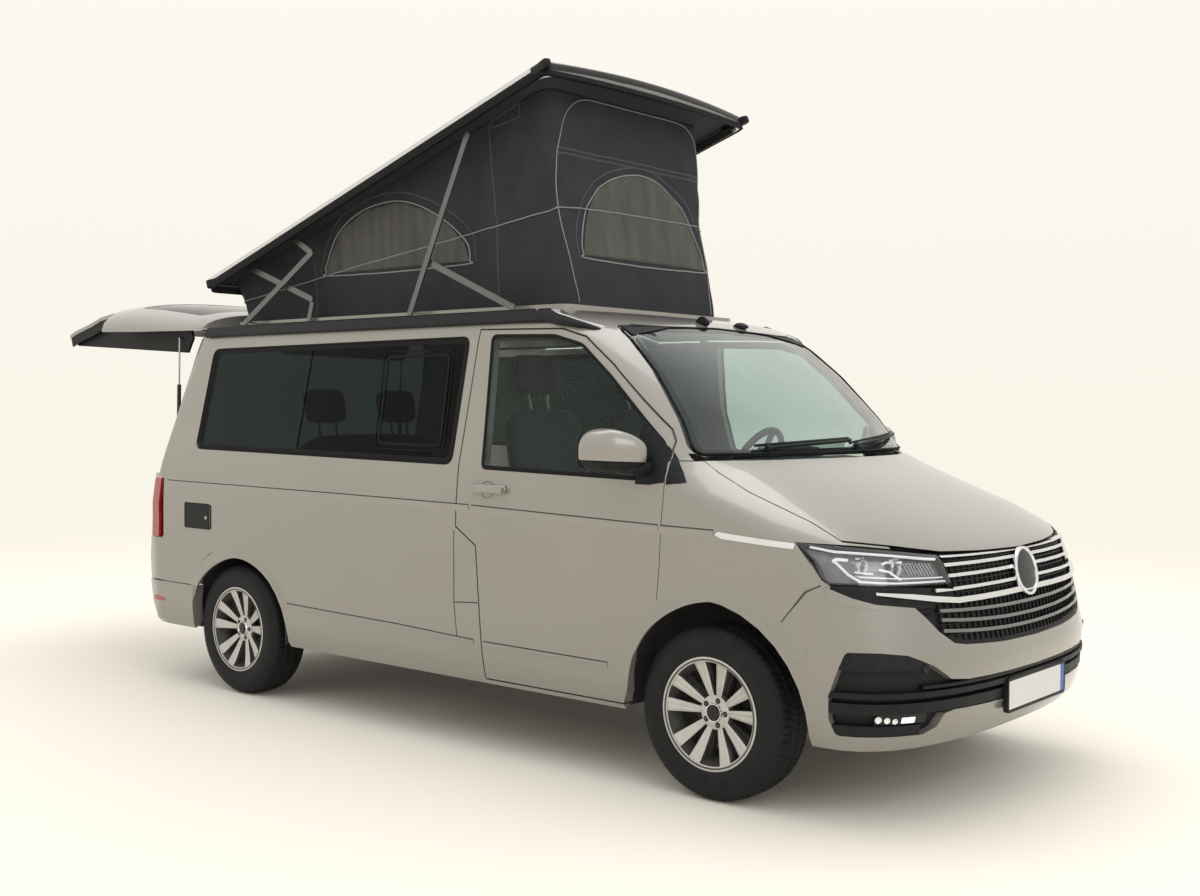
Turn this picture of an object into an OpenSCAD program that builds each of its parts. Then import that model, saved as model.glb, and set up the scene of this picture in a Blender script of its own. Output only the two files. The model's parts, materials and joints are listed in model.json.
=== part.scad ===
// Camper van with a lifting roof and its tent, parked with the roof up and the tailgate open.
// Millimetres, +Z up, the nose faces -Y and the driver sits on the +X side.
// Places along the van are measured from the front axle, and the whole is then moved
// so that the origin lies on the ground under the middle of its box.

/* [Body] */
// Width over the body sides
body_w = 1904; // [1860:2:1950]
// Distance between the axles
wheelbase = 3000; // [2950:5:3200]
// Front axle to the foremost point of the bumper
front_overhang = 908; // [900:1:960]
// Rear axle to the rearmost point of the closed tail
rear_overhang = 990; // [970:1:1060]
// Thickness of the side walls, pillars and bumpers
wall = 42; // [36:1:50]
// Gap at every shut line
gap = 7; // [6:0.5:9]
// Thickness of the window glass
glass_t = 6; // [4:0.5:9]

/* [Wheels] */
// Distance between the wheel centres of an axle
track = 1628; // [1600:2:1650]
// Outer diameter of a tyre
tyre_d = 674; // [650:2:690]
// Width of a tyre
tyre_w = 215; // [195:5:225]
// Diameter of the rim's lip
rim_d = 436; // [420:2:446]
// Spoke pairs of a rim
spoke_pairs = 5; // [4:1:7]
// Diameter of the brake discs
disc_d = 300; // [270:2:320]
// Diameter of the hub bearing's shaft
hub_d = 60; // [50:1:70]

/* [Lifting roof] */
// Opening angle of the roof
lid_angle = 18; // [12:0.1:19]
// Length of the roof's lid
lid_l = 2695; // [2600:5:2700]
// Width of the roof's lid
lid_w = 1520; // [1510:2:1540]
// Height of the closed lid's crown
lid_top = 2000; // [1995:1:2020]
// Thickness of the strut bars
bar_t = 9; // [6:0.5:10]
// Width of the strut bars
bar_w = 30; // [24:1:32]

/* [Tailgate] */
// Opening angle of the tailgate
gate_angle = 71; // [50:1:76]
// Diameter of the gas springs' tubes
gas_d = 22; // [18:1:26]
// Diameter of the gas springs' rods
gas_rod_d = 10; // [8:0.5:12]

/* [Cabin] */
// Height of the floor's top face
floor_z = 350; // [340:1:370]
// Width of a front seat
seat_w = 500; // [460:5:520]
// Diameter of the steering wheel
steer_d = 390; // [360:2:400]

/* [Hidden] */

half = body_w / 2;
nose_y = -front_overhang;
tail_y = wheelbase + rear_overhang;
rear_y = wheelbase;              // the rear axle, from which the tail is measured
tyre_r = tyre_d / 2;
hub_z = tyre_r;
wheel_x = track / 2;
kx = half / 952;                 // widths on the nose and tail follow the body's width
far = 3000;                      // longer than any cut is deep

// Body sections by height: [height, inset of the side, set-back of the nose, depth of the
// front corner, its power, set-back of the tail, depth of the rear corner, its power]
SECTIONS = [
  [ 290,  40,  84, 340, 2.6, 110, 300, 2.6],
  [ 330,  16,  44, 400, 2.6,  50, 320, 2.6],
  [ 420,   4,  13, 440, 2.6,  15, 330, 2.6],
  [ 520,   1,   3, 462, 2.6,   0, 330, 2.6],
  [ 590,   0,   0, 470, 2.6,   3, 320, 2.65],
  [ 660,   0,  16, 475, 2.6,   8, 310, 2.7],
  [ 860,   0,  61, 490, 2.6,  45, 280, 2.8],
  [ 960,   0,  84, 520, 2.5,  52, 270, 2.8],
  [1010,   1, 145, 520, 2.5,  62, 268, 2.8],
  [1085,   4, 283, 540, 2.4,  77, 265, 2.8],
  [1180,  12, 515, 580, 2.3, 105, 262, 2.8],
  [1250,  20, 705, 520, 2.3, 132, 258, 2.8],
  [1300,  27, 860, 400, 2.4, 153, 255, 2.8],
  [1450,  47, 985, 385, 2.5, 218, 248, 2.8],
  [1650,  72, 1208, 330, 2.65, 318, 230, 2.8],
  [1780,  88, 1393, 285, 2.9, 387, 215, 2.8],
  [1850, 101, 1510, 270, 3.0, 425, 200, 2.8],
  [1890, 120, 1600, 270, 3.0, 450, 180, 2.8],
  [1912, 165, 1690, 260, 3.0, 478, 150, 2.8],
  [1920, 330, 1860, 200, 3.0, 545, 110, 2.8]];
roof_z = SECTIONS[len(SECTIONS) - 1][0];
seat_z = 1850;                   // where the roof frame sits on the sides
COLUMNS = [for (c = [0:7]) [for (s = SECTIONS) [s[0], s[c]]]];
function column(z, c) = lookup(z, COLUMNS[c]);

// A point of the skin. v runs once round the body, anticlockwise from above: 0 at the middle
// of the nose, 1 to 2 along the left side, 3 at the middle of the tail, 4 to 5 along the right.
function quarter_point(s, z) =
  let (w = half - column(z, 1))
  s <= 1 ? let (d = column(z, 3), p = 2 / column(z, 4), y = nose_y + column(z, 2))
    [w * pow(sin(90 * s), p), y + d - d * pow(cos(90 * s), p), z]
  : let (d = column(z, 6), p = 2 / column(z, 7), y = tail_y - column(z, 5))
    s >= 2 ? [w * pow(sin(270 - 90 * s), p), y - d + d * pow(cos(270 - 90 * s), p), z]
    : [w, (nose_y + column(z, 2) + column(z, 3)) * (2 - s) + (y - d) * (s - 1), z];
function skin_point(v, z) =
  v < 0 ? let (q = quarter_point(-v, z)) [-q[0], q[1], z]
  : v > 3 ? let (q = quarter_point(6 - v, z)) [-q[0], q[1], z]
  : quarter_point(v, z);
function unit(a) = a / norm(a);
function skin_normal(v, z) = unit(cross(
  skin_point(v + 0.02, z) - skin_point(v - 0.02, z),
  skin_point(v, min(z + 8, roof_z)) - skin_point(v, max(z - 8, SECTIONS[0][0]))));
function shell_point(v, z, out) = skin_point(v, z) + out * skin_normal(v, z);

// A stretch of the skin as a closed plate, from its stations vs and heights z, from out to
// out - t measured along the skin's normal.
module plate(vs, z, t, out = 0) {
  inner = [for (s = SECTIONS) if (s[0] > z[0] + 4 && s[0] < z[1] - 4) s[0]];
  zs = concat([z[0]], inner, [z[1]]);
  nv = len(vs);
  nz = len(zs);
  n = nv * nz;
  polyhedron(
    points = [for (d = [out, out - t]) for (h = zs) for (v = vs) shell_point(v, h, d)],
    faces = [
      for (j = [0:nz - 2]) for (i = [0:nv - 2])
        let (a = j * nv + i, b = a + 1, c = a + nv, d = c + 1)
        each [[a, c, d], [a, d, b], [n + a, n + d, n + c], [n + a, n + b, n + d]],
      for (i = [0:nv - 2]) let (a = i, b = i + 1, c = n - nv + i, d = c + 1)
        each [[a, b, n + b], [a, n + b, n + a], [d, c, n + c], [d, n + c, n + d]],
      for (j = [0:nz - 2]) let (a = j * nv, c = a + nv, b = a + nv - 1, d = b + nv)
        each [[c, a, n + a], [c, n + a, n + c], [b, d, n + d], [b, n + d, n + b]]]);
}
function steps(a, b, n) = [for (i = [0:n]) a + (b - a) * i / n];

// The whole body between two heights as a solid, set in by inset on every side
module loft(z0, z1, inset, count = 36) {
  zs = concat([z0], [for (s = SECTIONS) if (s[0] > z0 + 4 && s[0] < z1 - 4) s[0]], [z1]);
  vs = [for (i = [0:count - 1]) 6 * (i + 0.5) / count];
  polyhedron(
    points = [for (h = zs) for (v = vs) let (p = skin_point(v, h)) p
      - inset * [p[0] / half, (p[1] - (nose_y + tail_y) / 2) / (tail_y - nose_y) * 2, 0]],
    faces = [
      for (j = [0:len(zs) - 2]) for (i = [0:count - 1])
        let (a = j * count + i, b = j * count + (i + 1) % count, c = a + count, d = b + count)
        each [[a, c, d], [a, d, b]],
      [for (i = [0:count - 1]) i],
      [for (i = [count - 1:-1:0]) (len(zs) - 1) * count + i]]);
}

// Prisms: along X from a (y, z) outline, along Y from an (x, z) outline
module along_x(x0, x1) translate([x0, 0, 0]) rotate([90, 0, 90]) linear_extrude(x1 - x0) children();
module along_y(y0, y1) translate([0, y1, 0]) rotate([90, 0, 0]) linear_extrude(y1 - y0) children();
module both_sides() { children(); mirror([1, 0, 0]) children(); }
module on_side(side) { if (side < 0) mirror([1, 0, 0]) children(); else children(); }
module rounded(r) offset(r = r, $fn = 24) offset(delta = -r) children();
module grown(d) offset(delta = d) children();
module rod(a, b, d) {
  v = b - a;
  translate(a) rotate([0, acos(v[2] / norm(v)), atan2(v[1], v[0])]) cylinder(h = norm(v), d = d);
}

// ---- outlines on the side, as (y, z) ----
door_front = 214;
door_rear = 1338;
door_top = 1832;
sill_z = 326;
function arch(y, rear, front, top, power_rear, power_front) = concat(
  [[y + rear, 0]],
  [for (a = [0:11:88]) [y + rear * pow(cos(a), 2 / power_rear),
    hub_z + (top - hub_z) * pow(sin(a), 2 / power_rear)]],
  [for (a = [88:-11:0]) [y - front * pow(cos(a), 2 / power_front),
    hub_z + (top - hub_z) * pow(sin(a), 2 / power_front)]],
  [[y - front, 0]]);
module front_arch(d = 0) grown(d) polygon(arch(20, 360, 475, 776, 2.5, 1.9));
module rear_arch(d = 0) grown(d) polygon(arch(rear_y + 40, 308, 495, 745, 2.6, 1.95));
door_line = [
  [400, sill_z], [door_front + 18, 700], [door_front, 900], [door_front - 10, 1187],
  [door_front + 4, 1366], [door_front + 30, 1411], [371, 1522], [532, 1669], [684, 1786],
  [805, 1822], [1283, door_top], [door_rear, 1240], [door_rear, 975], [1214, 899],
  [1192, 641], [1165, sill_z]];
module door_outline(d = 0) difference() {
  grown(d) polygon(door_line);
  front_arch(-d);
}
door_window = [
  [345, 1218], [1196, 1234], [1206, 1806], [845, 1797], [690, 1757], [530, 1628],
  [366, 1474], [236, 1352], [330, 1225]];
module door_window_outline(d = 0) grown(d) rounded(22) polygon(door_window);
window_front = 1389;
window_rear = rear_y + 349;
window_split = rear_y - 531;
module side_window_outline(d = 0) grown(d) rounded(45) polygon([
  [window_front, 1243], [window_rear, 1268], [window_rear - 78, 1792],
  [window_front - 44, 1805]]);
module window_split_outline() polygon([
  [window_split + 30, 1200], [window_split + 30 + gap, 1200],
  [window_split - 38 + gap, 1850], [window_split - 38, 1850]]);
slide_front = door_rear + 46;
slide_rear = rear_y - 520;
module slide_outline(d = 0) grown(d) polygon([
  [slide_front - 30, sill_z + 10], [slide_front, 900], [slide_front, 1240],
  [slide_front - 62, door_top], [slide_rear - 30, door_top], [slide_rear, 1250],
  [slide_rear, 700], [slide_rear - 60, 520], [slide_rear - 70, sill_z + 10]]);
// The tailgate's shut line, from the roof down to the top of the tail lamps
lamp_top = 1105;
lamp_low = 775;
gate_low = 565;
gate_line_top = rear_y + 428;
module gate_zone(d = 0) polygon([
  [gate_line_top - d, roof_z + 60], [gate_line_top - d, 1860],
  [rear_y + 583 - d, 1421], [rear_y + 690 - d, lamp_top + 26 - d],
  [tail_y + 300, lamp_top + 26 - d], [tail_y + 300, roof_z + 60]]);
// The wing and bumper stand ahead of this line
wing_top = 1294;
module wing_zone(d = 0) polygon([
  [nose_y - 200, 0], [400 - d, 0], [400 - d, sill_z], [door_front + 18 - d, 700],
  [door_front - d, 900], [door_front - 10 - d, 1187], [door_front - d, wing_top - d],
  [nose_y - 200, wing_top - d]]);
module bumper_zone(d = 0) polygon([
  [nose_y - 200, 0], [-300 + d, 0], [-300 + d, 690], [-446 + d, 858 - d], [-500 + d, 874 - d],
  [nose_y - 200, 874 - d]]);

// ---- outlines on the front, as (x, z) ----
module mirrored(points) scale([kx, 1]) polygon(concat(points,
  [for (i = [len(points) - 1:-1:0]) if (points[i][0] != 0) [-points[i][0], points[i][1]]]));
module windscreen_outline(d = 0) grown(d) rounded(40)
  mirrored([[0, 1306], [838, 1306], [700, 1842], [0, 1862]]);
module bonnet_outline(d = 0) grown(d)
  mirrored([[0, 966], [300, 972], [525, 981], [699, 1007], [832, 1026], [828, 1181], [806, 1292],
    [0, 1292]]);
lamp_line = [[530, 850], [558, 975], [707, 994], [823, 1009], [980, 1022], [980, 873], [882, 873],
  [643, 860]];
module lamp_outline(d = 0) grown(d) scale([kx, 1]) polygon(lamp_line);
module grille_outline(d = 0) grown(d) mirrored([
  [0, 633], [282, 638], [513, 652], [575, 662], [637, 705], [676, 751], [719, 795], [835, 810],
  [913, 825], [980, 850], [980, 873], [882, 873], [643, 860], [530, 850], [556, 973], [297, 966],
  [0, 960]]);
insert_line = [
  [0, 418], [581, 424], [628, 416], [648, 368], [703, 346], [980, 346], [980, 644], [864, 644],
  [778, 633], [686, 590], [609, 538], [517, 528], [0, 524]];
module insert_outline(d = 0) grown(d) rounded(10) mirrored(insert_line);
// How far the lamps and the bumper's inserts run back on the sides, as (y, z)
module lamp_side(d = 0) grown(d) polygon([[nose_y - 200, 800], [-528, 800], [-528, 872],
  [-497, 892], [-462, 938], [-421, 980], [-383, 1022], [-383, 1060], [nose_y - 200, 1060]]);
module insert_side(d = 0) grown(d) rounded(24) polygon([[nose_y - 200, 346], [-560, 346],
  [-536, 400], [-536, 480], [-557, 545], [-592, 645], [nose_y - 200, 645]]);
module lamp_space(d = 0) intersection() {
  along_y(-far, far) { lamp_outline(d); mirror([1, 0]) lamp_outline(d); }
  along_x(-far, far) lamp_side(d);
}
module insert_space(d = 0) intersection() {
  along_y(-far, far) insert_outline(d);
  along_x(-far, far) insert_side(d);
}
module grille_space(d = 0) intersection() {
  along_y(-far, far) grille_outline(d);
  along_x(-far, far) polygon([[nose_y - 200, 600], [-528 + d, 600], [-528 + d, 1010],
    [nose_y - 200, 1010]]);
}
// ---- outlines on the tail, as (x, z) ----
lamp_w = 126;                    // width of a tail lamp at the back
gate_half = half - lamp_w;
module tail_outline(d = 0) grown(d) {
  translate([-gate_half, gate_low + 40]) square([2 * gate_half, roof_z + 40 - gate_low]);
  translate([-gate_half + 30, gate_low]) square([2 * gate_half - 60, roof_z + 80 - gate_low]);
}
module tail_window_outline(d = 0) grown(d) rounded(50)
  mirrored([[0, 1240], [735, 1240], [700, 1765], [0, 1790]]);

// ---- chassis ----
housing_r = 405;
module floor_pan() color("dimgray") {
  difference() {
    translate([-half + wall + 40, 420, floor_z - 46])
      cube([body_w - 2 * wall - 80, rear_y + 560 - 420, 46]);
    along_x(-far, far) rear_arch(30);
  }
  translate([-700 * kx, rear_y + 400, floor_z - 46]) cube([1400 * kx, rear_overhang - 600, 46]);
  // tunnel floor between the rear wheels, notched over the axle, with the two wheel housings
  difference() {
    translate([-600, rear_y - 520, floor_z - 46]) cube([1200, 920, 46]);
    both_sides() translate([500, rear_y - 70, 0]) cube([200, 140, floor_z + 20]);
  }
  both_sides() {
    intersection() {
      along_x(600, half - wall - 1) difference() {
        translate([rear_y + 10, hub_z]) circle(r = housing_r + 8, $fn = 64);
        translate([rear_y + 10, hub_z]) circle(r = housing_r, $fn = 64);
      }
      difference() {
        translate([600, rear_y - 500, floor_z - 46]) cube([400, 1000, 900]);
        // clear of the rear bumper's end
        translate([half - wall - 36, rear_y + 290, 0]) cube([200, 300, gate_low]);
      }
    }
    along_x(600, 608) difference() {
      intersection() {
        translate([rear_y + 10, hub_z]) circle(r = housing_r + 8, $fn = 64);
        translate([rear_y - 500, floor_z - 46]) square([1000, 900]);
      }
      translate([rear_y - 70, 0]) square([140, 425]);
    }
  }
  // bulkhead
  along_x(-half + 2 * wall + 20, half - 2 * wall - 20)
    polygon([[420, floor_z - 46], [460, floor_z - 46], [440, 520], [250, 800], [170, 1240],
      [150, 1240], [150, 900], [410, 500]]);
}
module front_axle() color([0.16, 0.16, 0.17]) {
  translate([-420, -120, 230]) cube([840, 320, 70]);
  both_sides() {
    hull() {
      translate([400, 120, 262]) cylinder(h = 30, d = 70, $fn = 24);
      translate([wheel_x - 170, 0, 262]) cylinder(h = 30, d = 60, $fn = 24);
    }
    hull() {
      translate([400, -90, 262]) cylinder(h = 30, d = 60, $fn = 24);
      translate([wheel_x - 170, 0, 262]) cylinder(h = 30, d = 60, $fn = 24);
    }
    translate([wheel_x - 170, 0, 290]) cylinder(h = 12, d = 60);
  }
}
module rear_axle() color([0.16, 0.16, 0.17]) {
  translate([-480, rear_y - 120, 210]) cube([960, 180, 70]);
  both_sides() {
    translate([470, rear_y - 330, 236]) cube([90, 420, 50]);
    translate([540, rear_y - 50, 236]) cube([50, 100, 110]);
    translate([560, rear_y - 50, 236]) cube([60, 100, 150]);
    translate([590, rear_y, hub_z]) rotate([0, 90, 0]) cylinder(h = wheel_x - 590 - 28, d = hub_d);
  }
}
module engine() color([0.3, 0.3, 0.31]) translate([-300, -560, 330]) cube([600, 460, 560]);
module fuel_tank() color([0.1, 0.1, 0.1])
  translate([80, 700, 210]) cube([520, 900, 92]);
module exhaust() color([0.55, 0.55, 0.56]) {
  translate([-520, 1900, 250]) rotate([-90, 0, 0]) hull() {
    translate([40, 0, 0]) cylinder(h = 520, d = 90, $fn = 32);
    translate([180, 0, 0]) cylinder(h = 520, d = 90, $fn = 32);
  }
  translate([-400, 260, 258]) rotate([-90, 0, 0]) cylinder(h = 1650, d = 58);
}
module knuckle(side) color([0.35, 0.35, 0.36]) on_side(side) {
  x = wheel_x - 170;
  translate([x, 0, 307]) cylinder(h = 90, d = 60);
  translate([x, -30, hub_z - 28]) cube([60, 60, 56]);
  translate([x + 50, 0, hub_z]) rotate([0, 90, 0]) cylinder(h = 90, d = hub_d);
}
module knuckle_right() knuckle(-1);
module knuckle_left() knuckle(1);

// ---- wheels, each at its place ----
module tyre(side, y) color([0.06, 0.06, 0.065]) translate([side * wheel_x, y, hub_z])
  rotate([0, 90, 0]) rotate_extrude($fn = 96) {
    bead = 206;
    w = tyre_w / 2;
    difference() {
      polygon([
        [bead, -w + 22], [bead + 12, -w + 8], [bead + 50, -w], [tyre_r - 52, -w + 2],
        [tyre_r - 20, -w + 16], [tyre_r - 5, -w + 34], [tyre_r, -w + 62],
        [tyre_r, w - 62], [tyre_r - 5, w - 34], [tyre_r - 20, w - 16], [tyre_r - 52, w - 2],
        [bead + 50, w], [bead + 12, w - 8], [bead, w - 22]]);
      translate([bead - 40, -w + 30]) square([46, tyre_w - 60]);
    }
  }
module rim(side, y) color([0.75, 0.75, 0.77]) translate([side * wheel_x, y, hub_z])
  rotate([0, side * 90, 0]) {
    w = tyre_w / 2;
    lip = rim_d / 2;
    difference() {
      union() {
        // barrel with its two flanges: they close on the tyre's beads
        rotate_extrude($fn = 96) polygon([
          [205, -w + 6], [lip - 4, -w + 6], [lip - 4, -w + 12], [205.5, -w + 22],
          [196, 20], [205.5, w - 22], [lip - 6, w - 13], [lip, w - 6], [204, w - 4],
          [186, 24], [197, -w + 18]]);
        // spokes: each pair is two tapering bars from the hub to the barrel
        for (i = [0:spoke_pairs - 1]) for (k = [-1, 1]) rotate(i * 360 / spoke_pairs)
          rotate(k * 15) linear_extrude(30) translate([0, 0])
            polygon([[40, -13], [40, 13], [192, k * 11 + 16], [192, k * 11 - 16]]);
        translate([0, 0, 2]) cylinder(h = 34, r = 64);
        translate([0, 0, -48]) cylinder(h = 52, r = 70);
        translate([0, 0, -48]) cylinder(h = 24, r = disc_d / 2);
      }
      translate([0, 0, 26]) cylinder(h = 20, r = 30);
      // bore for the hub's shaft
      translate([0, 0, -60]) cylinder(h = 34, d = hub_d + 0.1);
      for (i = [0:4]) rotate(36 + i * 72) translate([46, 0, 24]) cylinder(h = 30, r = 9);
    }
  }
module tyre_front_right() tyre(-1, 0);
module tyre_front_left() tyre(1, 0);
module tyre_rear_right() tyre(-1, rear_y);
module tyre_rear_left() tyre(1, rear_y);
module rim_front_right() rim(-1, 0);
module rim_front_left() rim(1, 0);
module rim_rear_right() rim(-1, rear_y);
module rim_rear_left() rim(1, rear_y);

// ---- body ----
paint = [0.70, 0.68, 0.64];
side_stations = concat([0.42, 0.55, 0.68, 0.8, 0.9, 1, 1.5, 2], steps(2.14, 2.7, 4));
module side_panel() difference() {
  plate(side_stations, [300, seat_z], wall);
  along_x(0, far) {
    wing_zone(-0.01);
    front_arch();
    door_outline(gap);
    rear_arch();
    gate_zone(gap);
    side_window_outline();
  }
  along_y(-far, rear_y) windscreen_outline(1);
  // open cowl behind the bonnet's rear edge
  along_y(-far, door_front) translate([0, 1200]) square([838 * kx, 120]);
  // seat of the tail lamp and everything behind it that the tailgate closes
  along_y(rear_y + 600, far * 2) tail_outline(gap);
  along_y(rear_y + 620, far * 2) translate([0, lamp_low]) square([2 * half, lamp_top - lamp_low]);
  translate([0, rear_y, 0]) cube([2 * half, 2 * far, gate_low - 20]);
}
module side_right() color(paint) mirror([1, 0, 0]) {
  difference() {
    side_panel();
    along_x(half - 25, far) hatch_outline(4);
  }
  gas_mount();
}
module side_left() color(paint) {
  difference() {
    side_panel();
    along_x(0, far) slide_outline(gap);
  }
  gas_mount();
}
module gas_mount() {
  gas_bracket();
  translate([-8, 0, 0]) gas_pin_at(gas_d / 2 + 14);
}
module sliding_door() color(paint) intersection() {
  difference() {
    plate(concat(steps(1, 2, 2)), [300, seat_z], wall);
    along_x(0, far) side_window_outline();
  }
  along_x(0, far) difference() {
    slide_outline();
    rear_arch(gap);
  }
}
module front_wings() color(paint) both_sides() difference() {
  plate(concat(steps(0.5, 1, 7), [1.3]), [600, wing_top - 2], wall);
  along_x(0, far) {
    front_arch();
    difference() {
      translate([-far, 0]) square([2 * far, far]);
      wing_zone(gap / 2);
    }
    bumper_zone(gap / 2);
  }
  along_y(-far, rear_y) {
    bonnet_outline(gap);
    windscreen_outline(1);
    scale([kx, 1]) polygon([[0, 0], [0, 1020], [660, 1003], [558, 975], [530, 850], [760, 840],
      [760, 0]]);
  }
  lamp_space(1);
  grille_space(1);
}
module bonnet() color(paint) intersection() {
  plate(steps(-0.82, 0.82, 14), [940, wing_top + 4], 26);
  along_y(-far, far) bonnet_outline();
}
module roof_frame() color(paint) {
  difference() {
    loft(seat_z, roof_z, 0);
    loft(seat_z - 5, roof_z - 34, wall);
    translate([-560, 1060, seat_z - 50]) cube([1120, rear_y + 330 - 1060, 200]);
    along_x(-far, far) gate_zone(gap);
    along_y(-far, 1000) windscreen_outline(1);
  }
  // plinth under the tent, with the pins of the linkage's feet in its sides
  difference() {
    translate([0, 0, roof_z - 4]) linear_extrude(34)
      rounded(60) square_on(plinth_x, 975, rear_y + 390);
    translate([0, 0, roof_z - 50]) linear_extrude(120)
      rounded(40) square_on(plinth_x - 50, 1020, rear_y + 355);
  }
  both_sides() for (f = [[strut_foot, lane_a], [brace_foot, lane_b], [link_foot, lane_a],
      [scissor_foot, lane_d]])
    translate([plinth_x - 6, f[0][0], f[0][1]]) rotate([0, 90, 0])
      cylinder(h = f[1] + bar_t + 1 - plinth_x + 6, d = pin_d, $fn = 24);
}
pin_d = 10;
module square_on(x, y0, y1) translate([-x, y0]) square([2 * x, y1 - y0]);
module windscreen() color([0.5, 0.6, 0.58, 0.4]) intersection() {
  plate(steps(-0.86, 0.86, 14), [1301, 1866], glass_t, -3);
  along_y(-far, rear_y) windscreen_outline();
}
module side_glass() color([0.08, 0.09, 0.1, 0.6]) both_sides() difference() {
  intersection() {
    plate(steps(1, 2, 2), [1200, 1830], glass_t, -3);
    along_x(0, far) side_window_outline();
  }
  along_x(0, far) window_split_outline();
}
module front_bumper() color(paint) difference() {
  plate(concat([-1.35, -1.1], steps(-1, 1, 20), [1.1, 1.35]), [290, 872], wall);
  along_x(-far, far) {
    difference() {
      translate([-far, 0]) square([2 * far, far]);
      bumper_zone(gap / 2);
    }
    front_arch();
  }
  grille_space(1);
  lamp_space(1);
  insert_space();
}
// Black parts of the bumper's inserts: [lower and upper height, inner and outer station,
// how far out of the skin]
LEDGES = [[340, 384, 0.5, 1, -3], [426, 464, 0, 1, -2], [482, 502, 0, 1, 3], [580, 650, 0.5, 1, -3],
  [510, 522, 0, 0.5, -4]];
module bumper_inserts() color([0.07, 0.07, 0.075]) {
  intersection() {
    plate(steps(-1, 1, 20), [340, 650], 12, -30);
    insert_space();
  }
  for (l = LEDGES) for (side = [-1, 1]) intersection() {
    plate(side > 0 ? steps(l[2], l[3], 10 * (l[3] - l[2])) : steps(-l[3], -l[2], 10 * (l[3] - l[2])),
      [l[0], l[1]], 31 + l[4], l[4]);
    insert_space();
  }
}
module grille() color([0.05, 0.05, 0.055]) {
  // recessed mesh, and the strips that run out under the lamps
  intersection() {
    plate(steps(-0.9, 0.9, 18), [628, 1010], 16, -16);
    grille_space();
  }
  both_sides() intersection() {
    plate(steps(0.4, 1, 6), [790, 880], 13, -3.5);
    grille_space();
    along_y(-far, far) scale([kx, 1]) translate([570, 700]) square([500, 300]);
  }
}
// Bars of the grille: [height at the middle, rise towards the lamps, height of the bar]
BARS = [[960, 6, 7], [935, 0, 12], [898, -2, 12], [852, -3, 12], [764, 14, 12], [722, 24, 12],
  [684, 24, 12]];
bar_main = 812;                  // height of the long bar that rises under the lamps
module slat(z, rise, h) along_y(-far, far) polygon(concat(
  [for (i = [-10:10]) [i * 62, z - h / 2 + rise * pow(i / 10, 2)]],
  [for (i = [10:-1:-10]) [i * 62, z + h / 2 + rise * pow(i / 10, 2)]]));
module grille_bars() color([0.8, 0.8, 0.82]) {
  for (b = BARS) intersection() {
    plate(steps(-0.5, 0.5, 10), [max(640, b[0] - 10), min(972, b[0] + 40)], 16, 4);
    grille_space(-1);
    slat(b[0], b[1], b[2]);
  }
  intersection() {
    plate(steps(-0.7, 0.7, 14), [bar_main - 16, bar_main + 44], 10.5, 11);
    along_y(-far, far) mirrored([[0, bar_main - 10], [527, bar_main - 12], [640, bar_main],
      [731, bar_main + 14], [835, bar_main + 30], [835, bar_main + 40], [731, bar_main + 32],
      [640, bar_main + 20], [527, bar_main + 8], [0, bar_main + 10]]);
  }
  intersection() {
    plate(steps(-0.5, 0.5, 10), [bar_main - 8, bar_main + 8], 15, 0.6);
    grille_space(-1);
    slat(bar_main, 0, 8);
  }
}
module headlamps() color([0.75, 0.78, 0.8, 0.7]) both_sides() intersection() {
  plate(steps(0.3, 1, 7), [840, 1030], 40);
  lamp_space();
}
module rear_bumper() color(paint) difference() {
  plate(concat([1.7, 2], steps(2.12, 3.88, 16), [4, 4.3]), [310, gate_low - 26], wall + 20, 6);
  along_x(-far, far) {
    rear_arch(1);
    translate([-far, 0]) square([far + rear_y + 300, far]);
  }
}
module tail_lamps() color([0.6, 0.05, 0.05]) both_sides() difference() {
  intersection() {
    plate(steps(2, 2.8, 8), [lamp_low + 4, lamp_top - 4], wall - 8);
    along_y(rear_y + 622, far * 2) translate([gate_half + gap, 0]) square([half, far]);
  }
}
module awning_rails() color([0.05, 0.05, 0.05]) both_sides() difference() {
  plate(steps(1, 2, 1), [1856, 1896], 24, 24.4);
  along_x(0, far) {
    gate_zone(gap);
    translate([0, seat_z]) square([rear_y * 0.2, 100]);
  }
}

// Flap over the mains socket, low on the right side, hinged along its front edge
hatch_front = rear_y + 199;
hatch_rear = rear_y + 417;
hatch_low = 850;
hatch_top = 975;
module hatch_outline(d = 0) grown(d) polygon([[hatch_front, hatch_low], [hatch_rear, hatch_low],
  [hatch_rear, hatch_top], [hatch_front, hatch_top]]);
module service_hatch() color([0.05, 0.05, 0.05]) mirror([1, 0, 0]) intersection() {
  plate([1.5, 2, 2.2], [hatch_low - 20, hatch_top + 20], 8, 3);
  along_x(0, far) hatch_outline();
}

// ---- doors ----
door_wall = wall + 8;
module door() difference() {
  intersection() {
    plate(concat(steps(0.7, 1, 3), [1.3, 1.8]), [300, seat_z - 4], door_wall);
    along_x(0, far) door_outline();
  }
  along_x(0, far) door_window_outline();
}
module door_handle() intersection() {
  plate([1, 2], [1128, 1152], 30, 30);
  translate([0, 1045, 0]) cube([far, 185, far]);
}
module door_left() color(paint) { door(); door_handle(); }
module door_right() color(paint) mirror([1, 0, 0]) { door(); door_handle(); }
module door_glass() intersection() {
  plate(concat(steps(0.7, 1, 3), [1.3, 1.8]), [1200, 1822], glass_t, -3);
  along_x(0, far) door_window_outline();
}
module door_glass_left() color([0.5, 0.6, 0.58, 0.4]) door_glass();
module door_glass_right() color([0.5, 0.6, 0.58, 0.4]) mirror([1, 0, 0]) door_glass();
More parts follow.
